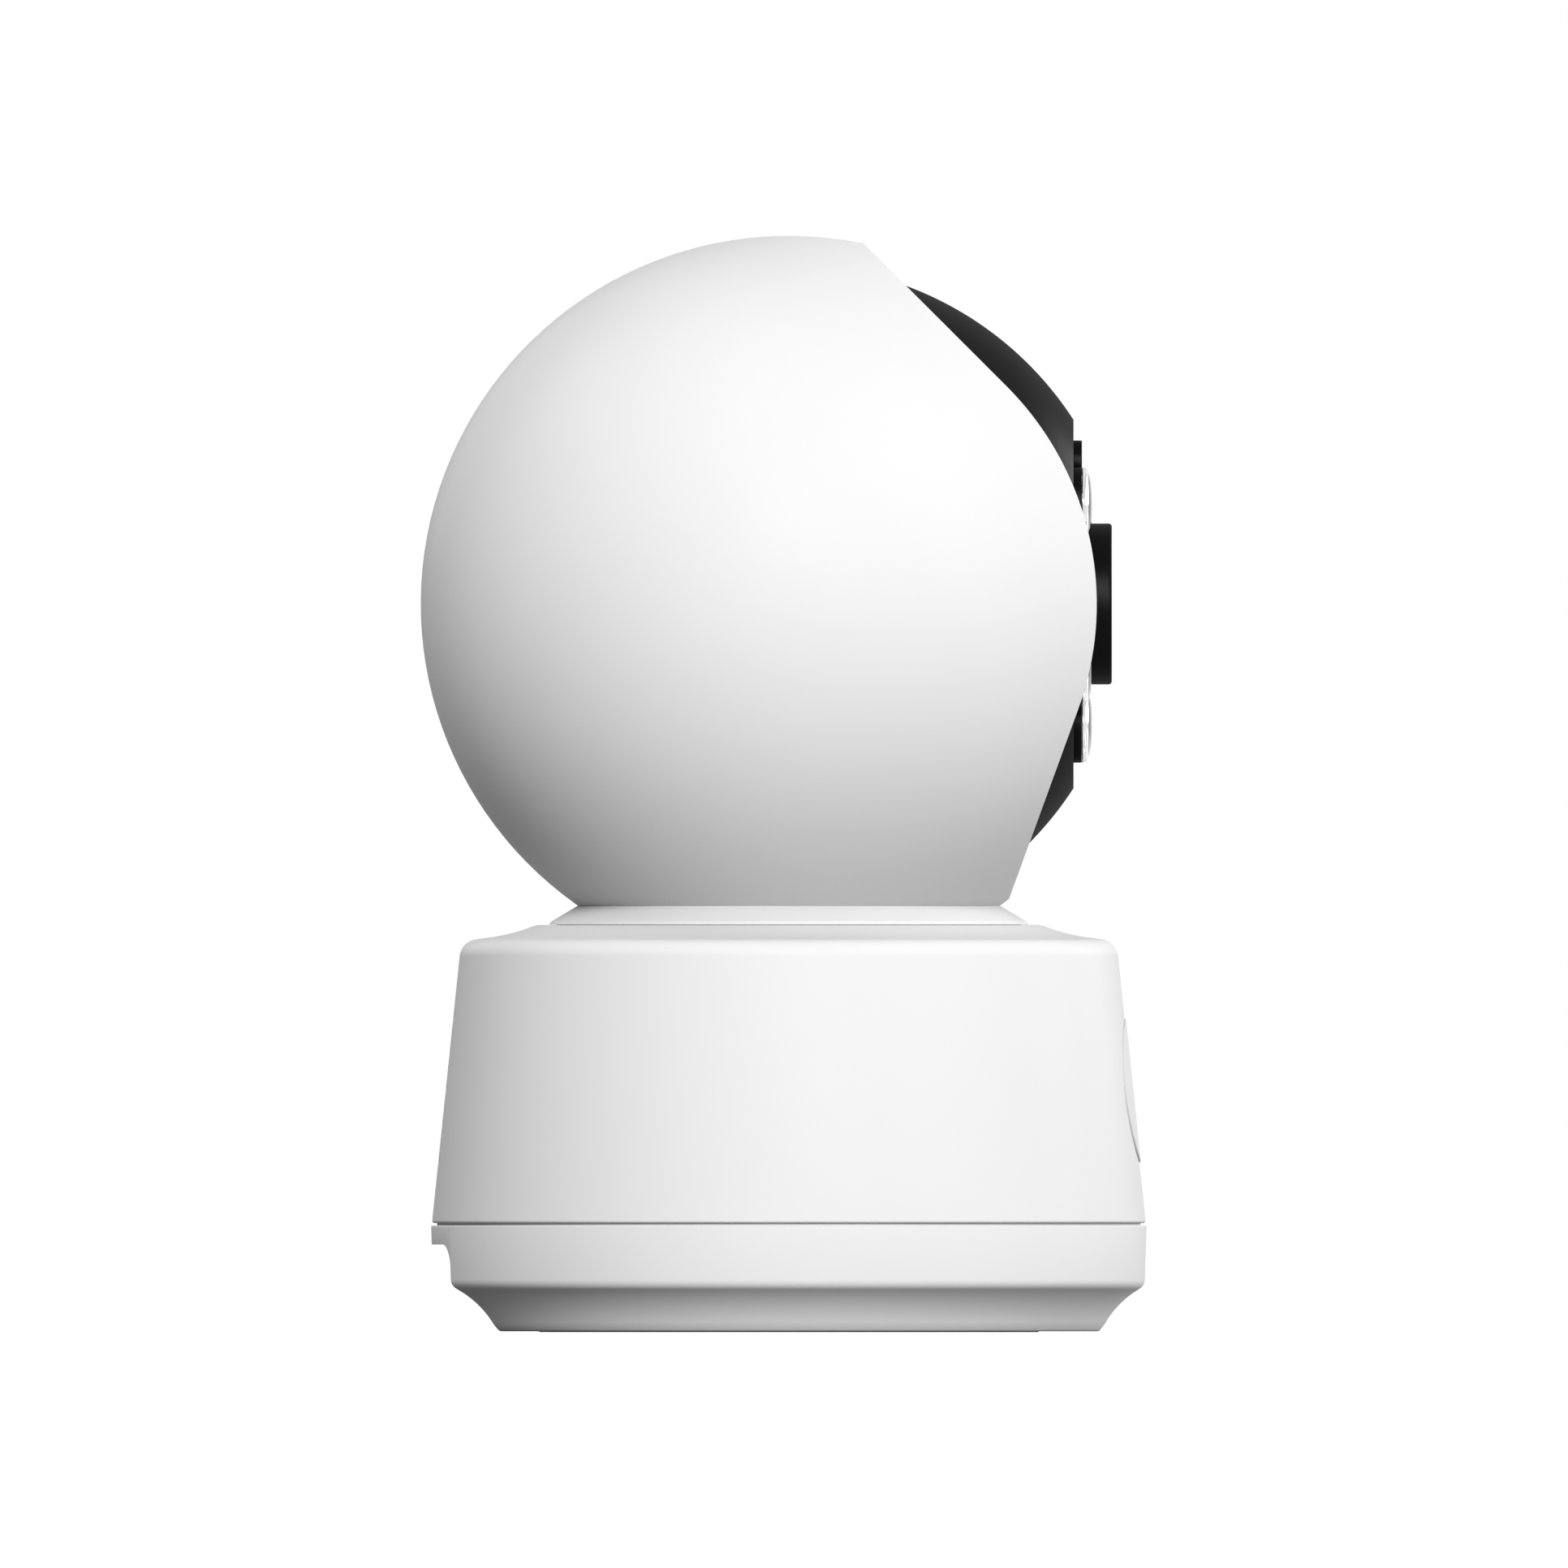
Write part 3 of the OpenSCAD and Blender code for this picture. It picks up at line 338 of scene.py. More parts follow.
class Wiring:
    """Adds and links the nodes of one material or node group."""

    def __init__(self, tree):
        self.tree = tree
        self.nodes = tree.nodes

    def add(self, kind, **settings):
        node = self.nodes.new(kind)
        for key, value in settings.items():
            setattr(node, key, value)
        return node

    def feed(self, target, value):
        if isinstance(value, bpy.types.NodeSocket):
            self.tree.links.new(value, target)
        else:
            target.default_value = value

    def noise(self, place, scale, detail=2.0, roughness=0.5):
        node = self.add("ShaderNodeTexNoise")
        self.feed(node.inputs["Vector"], place)
        self.feed(node.inputs["Scale"], scale)
        node.inputs["Detail"].default_value = detail
        node.inputs["Roughness"].default_value = roughness
        return node.outputs["Fac"]

    def maths(self, operation, *values):
        node = self.add("ShaderNodeMath", operation=operation)
        for socket, value in zip(node.inputs, values):
            self.feed(socket, value)
        return node.outputs[0]

    def spread(self, value, low, high, out_low, out_high):
        node = self.add("ShaderNodeMapRange")
        for socket, part in zip(node.inputs, (value, low, high, out_low, out_high)):
            self.feed(socket, part)
        return node.outputs["Result"]

    def vary(self, noise, low, high):
        """Spreads the usual range of a noise between two values."""
        return self.spread(noise, 0.3, 0.7, low, high)

    def scaled(self, vector, factor):
        node = self.add("ShaderNodeVectorMath", operation="SCALE")
        self.feed(node.inputs[0], vector)
        self.feed(node.inputs["Scale"], factor)
        return node.outputs["Vector"]

    def stretched(self, place, scale):
        node = self.add("ShaderNodeMapping")
        node.inputs["Scale"].default_value = scale
        self.feed(node.inputs["Vector"], place)
        return node.outputs["Vector"]

    def blend(self, share, first, second):
        node = self.add("ShaderNodeMix", data_type="RGBA")
        self.feed(node.inputs["Factor"], share)
        self.feed(node.inputs["A"], first)
        self.feed(node.inputs["B"], second)
        return node.outputs["Result"]

    def bump(self, height, distance):
        node = self.add("ShaderNodeBump")
        node.inputs["Distance"].default_value = distance
        self.feed(node.inputs["Height"], height)
        return node.outputs["Normal"]

    def place(self):
        return self.add("ShaderNodeTexCoord").outputs["Object"]


def new_group(name, inputs, outputs):
    """An empty node group with its sockets, its wiring, and its two end nodes."""
    group = bpy.data.node_groups.new(name, "ShaderNodeTree")
    for label, kind, default in inputs:
        socket = group.interface.new_socket(label, in_out="INPUT", socket_type=kind)
        if default is not None:
            socket.default_value = default
    for label, kind in outputs:
        group.interface.new_socket(label, in_out="OUTPUT", socket_type=kind)
    wires = Wiring(group)
    return group, wires, wires.add("NodeGroupInput").outputs, wires.add("NodeGroupOutput").inputs


FLOAT, VECTOR, COLOR = "NodeSocketFloat", "NodeSocketVector", "NodeSocketColor"


def moulded_group():
    """Fine mould texture, faint flow streaks and a soft change of tone, as on moulded plastic."""
    group, w, given, out = new_group("Moulded Plastic", [
        ("Place", VECTOR, None), ("Colour", COLOR, (0.8, 0.8, 0.8, 1)),
        ("Roughness", FLOAT, 0.4), ("Tone Change", FLOAT, 0.02), ("Grain Scale", FLOAT, 9000.0),
    ], [("Colour", COLOR), ("Roughness", FLOAT), ("Height", FLOAT)])
    cloud_scale, streak_scale, upright = 45.0, 160.0, (1.0, 1.0, 0.25)
    place = given["Place"]
    clouds = w.noise(place, cloud_scale, 3.0)
    grain = w.noise(place, given["Grain Scale"], 1.0)
    streaks = w.noise(w.stretched(place, upright), streak_scale, 2.0)
    darkest = w.maths("SUBTRACT", 1.0, given["Tone Change"])
    w.feed(out["Colour"], w.scaled(given["Colour"], w.vary(clouds, darkest, 1.0)))
    rough = w.maths("MULTIPLY", given["Roughness"], w.vary(streaks, 0.93, 1.08))
    w.feed(out["Roughness"], w.maths("ADD", rough, w.vary(grain, -0.015, 0.015)))
    w.feed(out["Height"], w.maths("ADD", w.maths("MULTIPLY", grain, 0.5), clouds))
    return group


def metal_group():
    """Fine drawing lines, small scratches and faint tarnish, as on plated and turned metal."""
    group, w, given, out = new_group("Worked Metal", [
        ("Place", VECTOR, None), ("Colour", COLOR, (0.6, 0.6, 0.6, 1)),
        ("Roughness", FLOAT, 0.3), ("Tarnish", FLOAT, 0.15), ("Line Scale", FLOAT, 3000.0),
    ], [("Colour", COLOR), ("Roughness", FLOAT), ("Height", FLOAT)])
    spot_scale, sideways, tarnished = 500.0, (0.08, 1.0, 1.0), (0.12, 0.11, 0.1, 1)
    place = given["Place"]
    lines = w.noise(w.stretched(place, sideways), given["Line Scale"], 2.0)
    spots = w.noise(place, spot_scale, 4.0, 0.65)
    dull = w.maths("MULTIPLY", given["Tarnish"], w.spread(spots, 0.45, 0.75, 0.0, 1.0))
    w.feed(out["Colour"], w.blend(dull, given["Colour"], tarnished))
    w.feed(out["Roughness"], w.maths("ADD", given["Roughness"], w.vary(lines, -0.05, 0.08)))
    w.feed(out["Height"], lines)
    return group


def board_group():
    """Copper tracks under solder mask, tinned pads and the weave of the board."""
    group, w, given, out = new_group("Circuit Board", [
        ("Place", VECTOR, None), ("Mask", COLOR, (0.01, 0.1, 0.05, 1)),
        ("Track Scale", FLOAT, 700.0),
    ], [("Colour", COLOR), ("Roughness", FLOAT), ("Metallic", FLOAT), ("Height", FLOAT)])
    tracks_in_cell, gap_share, over_copper = 4.0, 0.62, 1.9
    pad_radius, tinned, weave_scale = 0.1, (0.75, 0.73, 0.68, 1), 6000.0
    place = given["Place"]
    cells = w.add("ShaderNodeTexVoronoi", distance="MANHATTAN", feature="F1")
    w.feed(cells.inputs["Vector"], place)
    w.feed(cells.inputs["Scale"], given["Track Scale"])
    steps = w.maths("FRACT", w.maths("MULTIPLY", cells.outputs["Distance"], tracks_in_cell))
    tracks = w.maths("GREATER_THAN", steps, gap_share)
    pads = w.maths("LESS_THAN", cells.outputs["Distance"], pad_radius)
    weave = w.noise(place, weave_scale, 0.0)
    masked = w.blend(tracks, given["Mask"], w.scaled(given["Mask"], over_copper))
    w.feed(out["Colour"], w.blend(pads, masked, tinned))
    w.feed(out["Roughness"], w.vary(weave, 0.25, 0.4))
    w.feed(out["Metallic"], pads)
    w.feed(out["Height"], w.maths("ADD", w.maths("MULTIPLY", tracks, 0.5), weave))
    return group


def winding_group():
    """Turns of fine wire or of braided sleeving, wound about one axis."""
    group, w, given, out = new_group("Wound Wire", [
        ("Place", VECTOR, None), ("Colour", COLOR, (0.6, 0.3, 0.1, 1)),
        ("Turn Scale", FLOAT, 5000.0),
    ], [("Colour", COLOR), ("Height", FLOAT)])
    # Painted shade: the colour is darkened in the grooves between the turns.
    unevenness, painted_shade_between_turns = 0.4, 0.45
    waves = w.add("ShaderNodeTexWave", wave_type="BANDS", bands_direction="DIAGONAL")
    w.feed(waves.inputs["Vector"], given["Place"])
    w.feed(waves.inputs["Scale"], given["Turn Scale"])
    waves.inputs["Distortion"].default_value = unevenness
    dark = w.scaled(given["Colour"], painted_shade_between_turns)
    w.feed(out["Colour"], w.blend(waves.outputs["Fac"], dark, given["Colour"]))
    w.feed(out["Height"], waves.outputs["Fac"])
    return group


GROUP_MAKERS = {"moulded": moulded_group, "metal": metal_group, "board": board_group,
                "winding": winding_group}
GROUPS = {}
MATERIALS = {}

# Finish: node group, its own inputs, bump distance in metres, and constants of the shader.
FINISHES = {
    "white_shell": ("moulded", {"Colour": "white_plastic", "Roughness": 0.42,
                                "Tone Change": 0.012}, 4e-6,
                    {"Specular IOR Level": 0.0, "Coat Weight": 0.06, "Coat Roughness": 0.3}),
    "badge": ("moulded", {"Colour": "badge_plastic", "Roughness": 0.5, "Tone Change": 0.02,
                          "Grain Scale": 5000.0}, 1e-5, {"IOR": 1.5, "Specular IOR Level": 0.3}),
    "black_shell": ("moulded", {"Colour": "black_plastic", "Roughness": 0.3, "Tone Change": 0.1},
                    2e-6, {"Specular IOR Level": 0.0, "Coat Weight": 0.14,
                           "Coat Roughness": 0.33}),
    "black_plastic": ("moulded", {"Colour": (0.012, 0.012, 0.012, 1), "Roughness": 0.6,
                                  "Tone Change": 0.15, "Grain Scale": 4000.0}, 2e-5, {}),
    "slide_plastic": ("moulded", {"Colour": (0.78, 0.78, 0.74, 1), "Roughness": 0.45,
                                  "Tone Change": 0.05}, 8e-6, {"Subsurface Weight": 0.1}),
    "foot_rubber": ("moulded", {"Colour": "rubber", "Roughness": 0.8, "Tone Change": 0.25,
                                "Grain Scale": 2500.0}, 4e-5, {"Specular IOR Level": 0.3}),
    "dark_aluminium": ("metal", {"Colour": (0.045, 0.045, 0.05, 1), "Roughness": 0.4,
                                 "Tarnish": 0.05}, 5e-6, {"Metallic": 1.0}),
    "screw_steel": ("metal", {"Colour": "screw_steel", "Roughness": 0.28, "Tarnish": 0.2},
                    5e-6, {"Metallic": 1.0}),
    "plated_steel": ("metal", {"Colour": (0.7, 0.7, 0.7, 1), "Roughness": 0.2, "Tarnish": 0.1},
                     3e-6, {"Metallic": 1.0}),
    "motor_case": ("metal", {"Colour": (0.6, 0.6, 0.61, 1), "Roughness": 0.35, "Tarnish": 0.12,
                             "Line Scale": 1800.0}, 8e-6, {"Metallic": 1.0}),
    "brass": ("metal", {"Colour": "brass", "Roughness": 0.25, "Tarnish": 0.25}, 5e-6,
              {"Metallic": 1.0}),
    "antenna_foil": ("metal", {"Colour": (0.7, 0.38, 0.2, 1), "Roughness": 0.3, "Tarnish": 0.3,
                               "Line Scale": 900.0}, 5e-6, {"Metallic": 1.0}),
    "green_board": ("board", {"Mask": "solder_mask"}, 1e-5, {"Coat Weight": 0.3}),
    "white_board": ("board", {"Mask": (0.62, 0.62, 0.6, 1), "Track Scale": 450.0}, 1e-5,
                    {"Coat Weight": 0.3}),
    "coil_copper": ("winding", {"Colour": (0.55, 0.22, 0.07, 1), "Turn Scale": 2600.0}, 6e-5,
                    {"Metallic": 0.8, "Roughness": 0.3}),
    "cable_sheath": ("winding", {"Colour": (0.02, 0.02, 0.02, 1), "Turn Scale": 1400.0}, 5e-5,
                     {"Roughness": 0.55}),
    "sensor_glass": ("moulded", {"Colour": (0.03, 0.035, 0.06, 1), "Roughness": 0.08,
                                 "Tone Change": 0.4, "Grain Scale": 1500.0}, 1e-6,
                     {"Coat Weight": 1.0, "Coat Roughness": 0.02}),
    "ir_chip": ("moulded", {"Colour": (0.05, 0.03, 0.05, 1), "Roughness": 0.15,
                            "Tone Change": 0.3}, 2e-6, {"Coat Weight": 0.6}),
    "phosphor": ("moulded", {"Colour": "phosphor", "Roughness": 0.45, "Tone Change": 0.12,
                             "Grain Scale": 7000.0}, 1e-5, {"Coat Weight": 0.4}),
}

# Painted shade: a darker tone that the white shells show to light bounced from surface to surface.
PAINTED_SHADE_TONE = (0.4, 0.4, 0.4, 1)

# Glass: colour, roughness, refraction and a painted reflection: a thin coat's tint at a glancing
# angle.
GLASSES = {
    "clear_dome": ("clear_plastic", 0.03, 1.49, None),
    "lens_glass": ((0.86, 0.9, 0.95, 1), 0.01, 1.52, (0.25, 0.12, 0.6, 1)),
    "filter_glass": ((0.55, 0.16, 0.22, 1), 0.03, 1.5, (0.7, 0.2, 0.3, 1)),
}


def panel_colour(value):
    return (*getattr(colours(), value), 1) if isinstance(value, str) else value


def shader_for(name):
    made = bpy.data.materials.new(name)
    made.use_nodes = True
    return made, Wiring(made.node_tree), made.node_tree.nodes["Principled BSDF"]


def solid_finish(name):
    kind, settings, bump, constants = FINISHES[name]
    made, w, shader = shader_for(name)
    if kind not in GROUPS:
        GROUPS[kind] = GROUP_MAKERS[kind]()
    effect = w.add("ShaderNodeGroup", node_tree=GROUPS[kind])
    w.feed(effect.inputs["Place"], w.place())
    for label, value in settings.items():
        w.feed(effect.inputs[label], panel_colour(value))
    shade = effect.outputs["Colour"]
    # The white shells show bounced light a darker tone: painted shade where they light each other,
    # as under the head.
    if name == "white_shell":
        painted_bounce_shade = w.add("ShaderNodeLightPath").outputs["Is Diffuse Ray"]
        shade = w.blend(painted_bounce_shade, shade, PAINTED_SHADE_TONE)
    w.feed(shader.inputs["Base Color"], shade)
    for label in ("Roughness", "Metallic"):
        if label in effect.outputs:
            w.feed(shader.inputs[label], effect.outputs[label])
    w.feed(shader.inputs["Normal"], w.bump(effect.outputs["Height"], bump))
    for label, value in constants.items():
        shader.inputs[label].default_value = value
    return made


def glass_finish(name):
    colour_name, rough, ior, painted_coating_sheen = GLASSES[name]
    smear_scale, smear, haze_scale, hazy = 900.0, 0.03, 300.0, (0.9, 0.9, 0.88, 1)
    made, w, shader = shader_for(name)
    place = w.place()
    shader.inputs["Transmission Weight"].default_value = 1.0
    shader.inputs["IOR"].default_value = ior
    smears = w.spread(w.noise(place, smear_scale, 3.0), 0.4, 0.8, rough, rough + smear)
    w.feed(shader.inputs["Roughness"], smears)
    tint = panel_colour(colour_name)
    if painted_coating_sheen:
        # Painted reflection: the base colour turns to the coat's tint at a glancing angle.
        facing = w.add("ShaderNodeLayerWeight")
        facing.inputs["Blend"].default_value = 0.35
        w.feed(shader.inputs["Base Color"], w.blend(facing.outputs["Facing"], tint, painted_coating_sheen))
    else:
        haze = w.spread(w.noise(place, haze_scale, 2.0), 0.4, 0.8, 0.0, 0.06)
        w.feed(shader.inputs["Base Color"], w.blend(haze, tint, hazy))
    return made


def finish(name):
    if name not in MATERIALS:
        MATERIALS[name] = glass_finish(name) if name in GLASSES else solid_finish(name)
    return MATERIALS[name]


# ---------- head ----------

# The sheet that half of the head is laid out on.
ROWS, COLUMNS = 62, 160
# Width of its first and last row, which keeps the rounding of the edges even.
EDGE_ROW = 0.35
# Share of the opening's edge that each of its round ends takes.
END_SHARE = 0.32
# Above 1, this crowds the columns towards the back of the neck.
CROWDING = 1.3


class HeadForm:
    """Points on the head's spheres, counted from the opening's edge to the neck."""

    def __init__(self):
        s = sizes()
        self.outer = mm(s.head_radius)
        self.inner = self.outer - mm(s.head_wall)
        self.half = mm(s.opening_radius)
        self.neck = mm(s.neck_height) - HEAD_Z

    def opening(self, radius, along):
        """On the left edge of the opening, from its top middle (0) to its bottom middle (1)."""
        reach = math.sqrt(radius**2 - self.half**2)

        def end(elevation, angle, side):
            e, a = math.radians(elevation), math.radians(angle)
            out = Vector((0, -math.cos(e), math.sin(e)))
            up = Vector((0, math.sin(e), math.cos(e)))
            return reach * out + self.half * (math.cos(a) * Vector((-1, 0, 0))
                                              + side * math.sin(a) * up)

        if along < END_SHARE:
            return end(TILT_UP, 90 * (1 - along / END_SHARE), 1)
        if along > 1 - END_SHARE:
            return end(-TILT_DOWN, 90 * (along - 1 + END_SHARE) / END_SHARE, -1)
        turn = (along - END_SHARE) / (1 - 2 * END_SHARE)
        e = math.radians(TILT_UP - (TILT_UP + TILT_DOWN) * turn)
        return Vector((-self.half, -reach * math.cos(e), reach * math.sin(e)))

    def neck_edge(self, radius, along):
        """On the left half of the neck, from the back (0) to the front (1)."""
        reach = math.sqrt(radius**2 - self.neck**2)
        turn = math.pi * along**CROWDING
        return Vector((-reach * math.sin(turn), reach * math.cos(turn), self.neck))

    def point(self, radius, along, across):
        """Between the opening's edge (0 across) and the neck (1 across), on a great circle."""
        start = self.opening(radius, along)
        end = self.neck_edge(radius, along)
        angle = start.angle(end)
        share = across
        if 0 < across < 1:
            row = min(EDGE_ROW / (radius * angle), 0.3)
            share = row + (1 - 2 * row) * (across * (ROWS + 2) / ROWS - 1 / ROWS)
        return (math.sin((1 - share) * angle) * start
                + math.sin(share * angle) * end) / math.sin(angle)


def head_shell(name):
    """The left half of the head: a sheet laid on the sphere, given its wall and rounded edges."""
    half_seam, seam_edge, near, slack = 0.03, 0.12, 0.01, 0.05
    form = HeadForm()
    deselect_all()
    bpy.ops.mesh.primitive_grid_add(x_subdivisions=COLUMNS, y_subdivisions=ROWS + 2, size=1)
    piece = bpy.context.object
    piece.name = name
    spots = [(min(max(v.co.x + 0.5, 0), 1), min(max(v.co.y + 0.5, 0), 1))
             for v in piece.data.vertices]
    centre = Vector((0, 0, HEAD_Z))
    for vert, (along, across) in zip(piece.data.vertices, spots):
        vert.co = form.point(form.outer, along, across) + centre
    edit_all(piece)
    bpy.ops.mesh.flip_normals()
    object_mode()
    wall = piece.modifiers.new("Wall", "SOLIDIFY")
    wall.thickness = form.outer - form.inner
    wall.offset = -1
    bpy.ops.object.modifier_apply(modifier=wall.name)
    inside = list(piece.data.vertices)[len(spots):2 * len(spots)]
    for vert, (along, across) in zip(inside, spots):
        vert.co = form.point(form.inner, along, across) + centre
    for vert in piece.data.vertices:
        vert.co.x = min(vert.co.x, -half_seam)
    neck = form.neck + HEAD_Z + near

    def on_outside(*ends):
        return all((p - centre).length > form.outer - slack for p in ends)

    def on_seam(*ends):
        return all(p.x > -half_seam - near for p in ends)

    def on_opening(start, end):
        return start.z > neck and not on_seam(start, end)

    bevel_edges(piece, lambda a, b: on_outside(a, b) and on_seam(a, b), seam_edge, 2)
    bevel_edges(piece, lambda a, b: on_outside(a, b) and on_opening(a, b), mm(sizes().edge_radius))
    return piece


class HeadOperator(bpy.types.Operator):
    """Builds the two white half shells of the head, with their stretched opening and seam."""

    bl_idname = "camera.build_head"
    bl_label = "Head Shells"

    def execute(self, context):
        left = head_shell("head_left")
        right = mirrored(left, "head_right")
        complete(left, "head", "white_shell", "head_shell_left")
        complete(right, "head", "white_shell", "head_shell_right")
        return {"FINISHED"}


class TurntableOperator(bpy.types.Operator):
    """Builds the white collar, neck and dish that carry the head."""

    bl_idname = "camera.build_turntable"
    bl_label = "Turntable"

    def execute(self, context):
        neck, rim = mm(sizes().neck_height), mm(sizes().flange_height) + 0.04
        skirt, seat = 21.2, 42.3
        hub, hub_low = 15.2, 40.2
        dish = arc((0, HEAD_Z), 37.9, -90, -60.65, 16)
        collar = [(23.14, neck, 0.12), (25.95, rim + 0.37, 0.05), (26.25, rim + 0.02, 0.03),
                  (26.2, rim)]
        under = [(skirt, rim, 0.15), (skirt, seat), (hub, seat), (hub, hub_low)]
        piece = turned("collar", [(0, dish[0][1])] + rounded(dish[1:] + collar + under)
                       + [(0, hub_low)])
        cable_slot = block((-3, 18, 40), (3, 20.3, 48))
        carve(piece, cable_slot)
        complete(piece, "head", "white_shell", "turntable")
        return {"FINISHED"}


# ---------- base ----------

# Height at which the housing's wall ends and its rounded shoulder starts.
SHOULDER_HEIGHT = 41
# The blank disc on the front: the height of its middle, and its radius.
DISC_HEIGHT, DISC_RADIUS = 26.45, 7.85
# The notch for the plug, and the places of the four screws that hold the tray.
NOTCH_HALF, NOTCH_TOP = 12.2, 9.6
TRAY_SCREWS = [(30 * math.cos(math.radians(a)), 30 * math.sin(math.radians(a)))
               for a in (45, 135, 225, 315)]


def wall_radius(height):
    """Outer radius of the base housing at a height above the seam."""
    s = sizes()
    low, high, seam = mm(s.base_low_radius), mm(s.base_high_radius), mm(s.seam_height)
    return low - (low - high) * (height - seam) / (SHOULDER_HEIGHT - seam)


class HousingOperator(bpy.types.Operator):
    """Builds the white upper housing of the base, with the speaker grille at its back."""

    bl_idname = "camera.build_housing"
    bl_label = "Base Housing"

    def execute(self, context):
        s = sizes()
        seam, top = mm(s.seam_height), mm(s.flange_height)
        low, edge, wall = mm(s.base_low_radius), mm(s.edge_radius), 2
        bore, ring_in, ring_out, ring_floor = 21.5, 22.2, 25.6, top - 0.7
        skirt = [(low - wall, seam), (low, seam, edge)]
        shoulder = arc((33.98, 40.95), 2.06, 6, 84, 14)
        slope = arc((35.6, 64.26), 21.25, -96, -111, 8)
        flange = [(27.4, top, 0.3), (ring_out, top, 0.12), (ring_out, ring_floor),
                  (ring_in, ring_floor), (ring_in, top, 0.12), (bore, top, 0.12)]
        inside = [(bore, top - wall), (27.5, top - wall), (33.2, 41.2),
                  (wall_radius(40.3) - wall, 40.3)]
        piece = turned("base_upper", rounded(skirt + shoulder + slope + flange + inside))
        groove = carve(drum(DISC_RADIUS + 0.21, -39, -36.1, 96),
                       drum(DISC_RADIUS + 0.03, -40, -35, 96))
        carve(piece, moved(groove, Matrix.Translation((0, 0, DISC_HEIGHT)) @ LYING))
        complete(grille(piece), "base", "white_shell", "base_housing")
        return {"FINISHED"}


def grille(piece):
    """Bores the speaker's pattern of holes through the back wall."""
    pitch, hole, middle = 2.3, 0.6, 26.6
    half_width, half_height, reach = 2.9, 8.4, range(-4, 5)
    holes = []
    for i in reach:
        for j in reach:
            x, z = pitch * (i + j / 2), pitch * j * math.sqrt(3) / 2
            if abs(x) < half_width and abs(z) < half_height:
                place = Matrix.Translation((x, 0, middle + z)) @ LYING
                holes.append(moved(drum(hole, 33, 43, 20), place))
    return carve(piece, joined(holes))


class TrayOperator(bpy.types.Operator):
    """Builds the white tray under the base, with its cove, cable notch and screw holes."""

    bl_idname = "camera.build_tray"
    bl_label = "Bottom Tray"

    def execute(self, context):
        seam, low, top = mm(sizes().seam_height), 0.1, 11
        hub, hub_top = 4.5, 7.4
        ring_in, ring_out, ring_top = 24, 27.4, 1
        under = [(hub, hub_top), (hub, low, 0.15), (ring_in, low, 0.1), (ring_in, ring_top),
                 (ring_out, ring_top), (ring_out, low, 0.1), (33.96, low, 0.5)]
        cove = arc((43.54, -4.17), 10.3, 152.6, 121.5, 16)
        side = [(38.95, 5.1, 1.2), (39.15, 11.68, 0.12), (38.5, 11.68), (38.5, seam)]
        lip = [(36.7, seam), (36.7, 13.4), (35.4, 13.4), (35.4, top)]
        piece = turned("base_tray", [(0, hub_top)] + rounded(under + cove[1:] + side + lip)
                       + [(0, top)])
        carve(piece, self.room())
        for x, y in TRAY_SCREWS:
            head, shank = drum(2.6, -1, 3.4, 48, x, y), drum(1.2, 3, 12, 24, x, y)
            carve(piece, head)
            carve(piece, shank)
        carve(piece, cable_notch())
        socket_hole = block((-4.1, 25, 3.6), (4.1, 29, 6.8))
        carve(piece, socket_hole)
        bevel_edges(piece, self.on_notch_rim, 0.4)
        complete(piece, "base", "white_shell", "bottom_tray")
        return {"FINISHED"}

    def room(self):
        """The space inside the tray, less the notch's walls, the insert's boss and the posts."""
        room = turned("room", [(0, 1.8), (33, 1.8), (36.9, 6.2), (36.9, 9.6), (35.4, 10.6),
                               (35.4, 14), (0, 14)], 96)
        solid = [block((-14, 26.2, 0), (14, 46, 11.2)), drum(7, 0, 8.2)]
        solid += [drum(3.4, 0, 9, 32, x, y) for x, y in TRAY_SCREWS]
        for part in solid:
            carve(room, part)
        return room

    def on_notch_rim(self, *ends):
        """Where the notch's walls and top run out through the side of the tray."""
        near = 0.05
        outside = all(math.hypot(p.x, p.y) > 33 and p.y > 30 for p in ends)
        on_edge = all(abs(abs(p.x) - NOTCH_HALF) < 0.02 or p.z > 6.5 for p in ends)
        within = all(p.z < NOTCH_TOP + near and abs(p.x) < NOTCH_HALF + near for p in ends)
        return outside and on_edge and within


def prism(outline, back, front):
    """A plain bar between two distances from the pan axis, from an outline of (x, z)."""
    deselect_all()
    bpy.ops.mesh.primitive_circle_add(vertices=len(outline), radius=1, fill_type="NGON")
    piece = bpy.context.object
    for vert, (x, z) in zip(piece.data.vertices, outline):
        vert.co = (x, back, z)
    edit_all(piece)
    bpy.ops.mesh.extrude_region_move(TRANSFORM_OT_translate={"value": (0, front - back, 0)})
    bpy.ops.mesh.select_all(action="SELECT")
    bpy.ops.mesh.normals_make_consistent(inside=False)
    object_mode()
    return piece


def cable_notch():
    """Cutter of the notch for the plug: a flat bottom, two walls and a rounded top."""
    corner = 2.5
    return prism(rounded([(-NOTCH_HALF, -1), (NOTCH_HALF, -1), (NOTCH_HALF, NOTCH_TOP, corner),
                          (-NOTCH_HALF, NOTCH_TOP, corner)]), 28, 48)


def slot_outline(half, low, high, radius):
    return rounded([(-half, low, radius), (half, low, radius), (half, high, radius),
                    (-half, high, radius)])


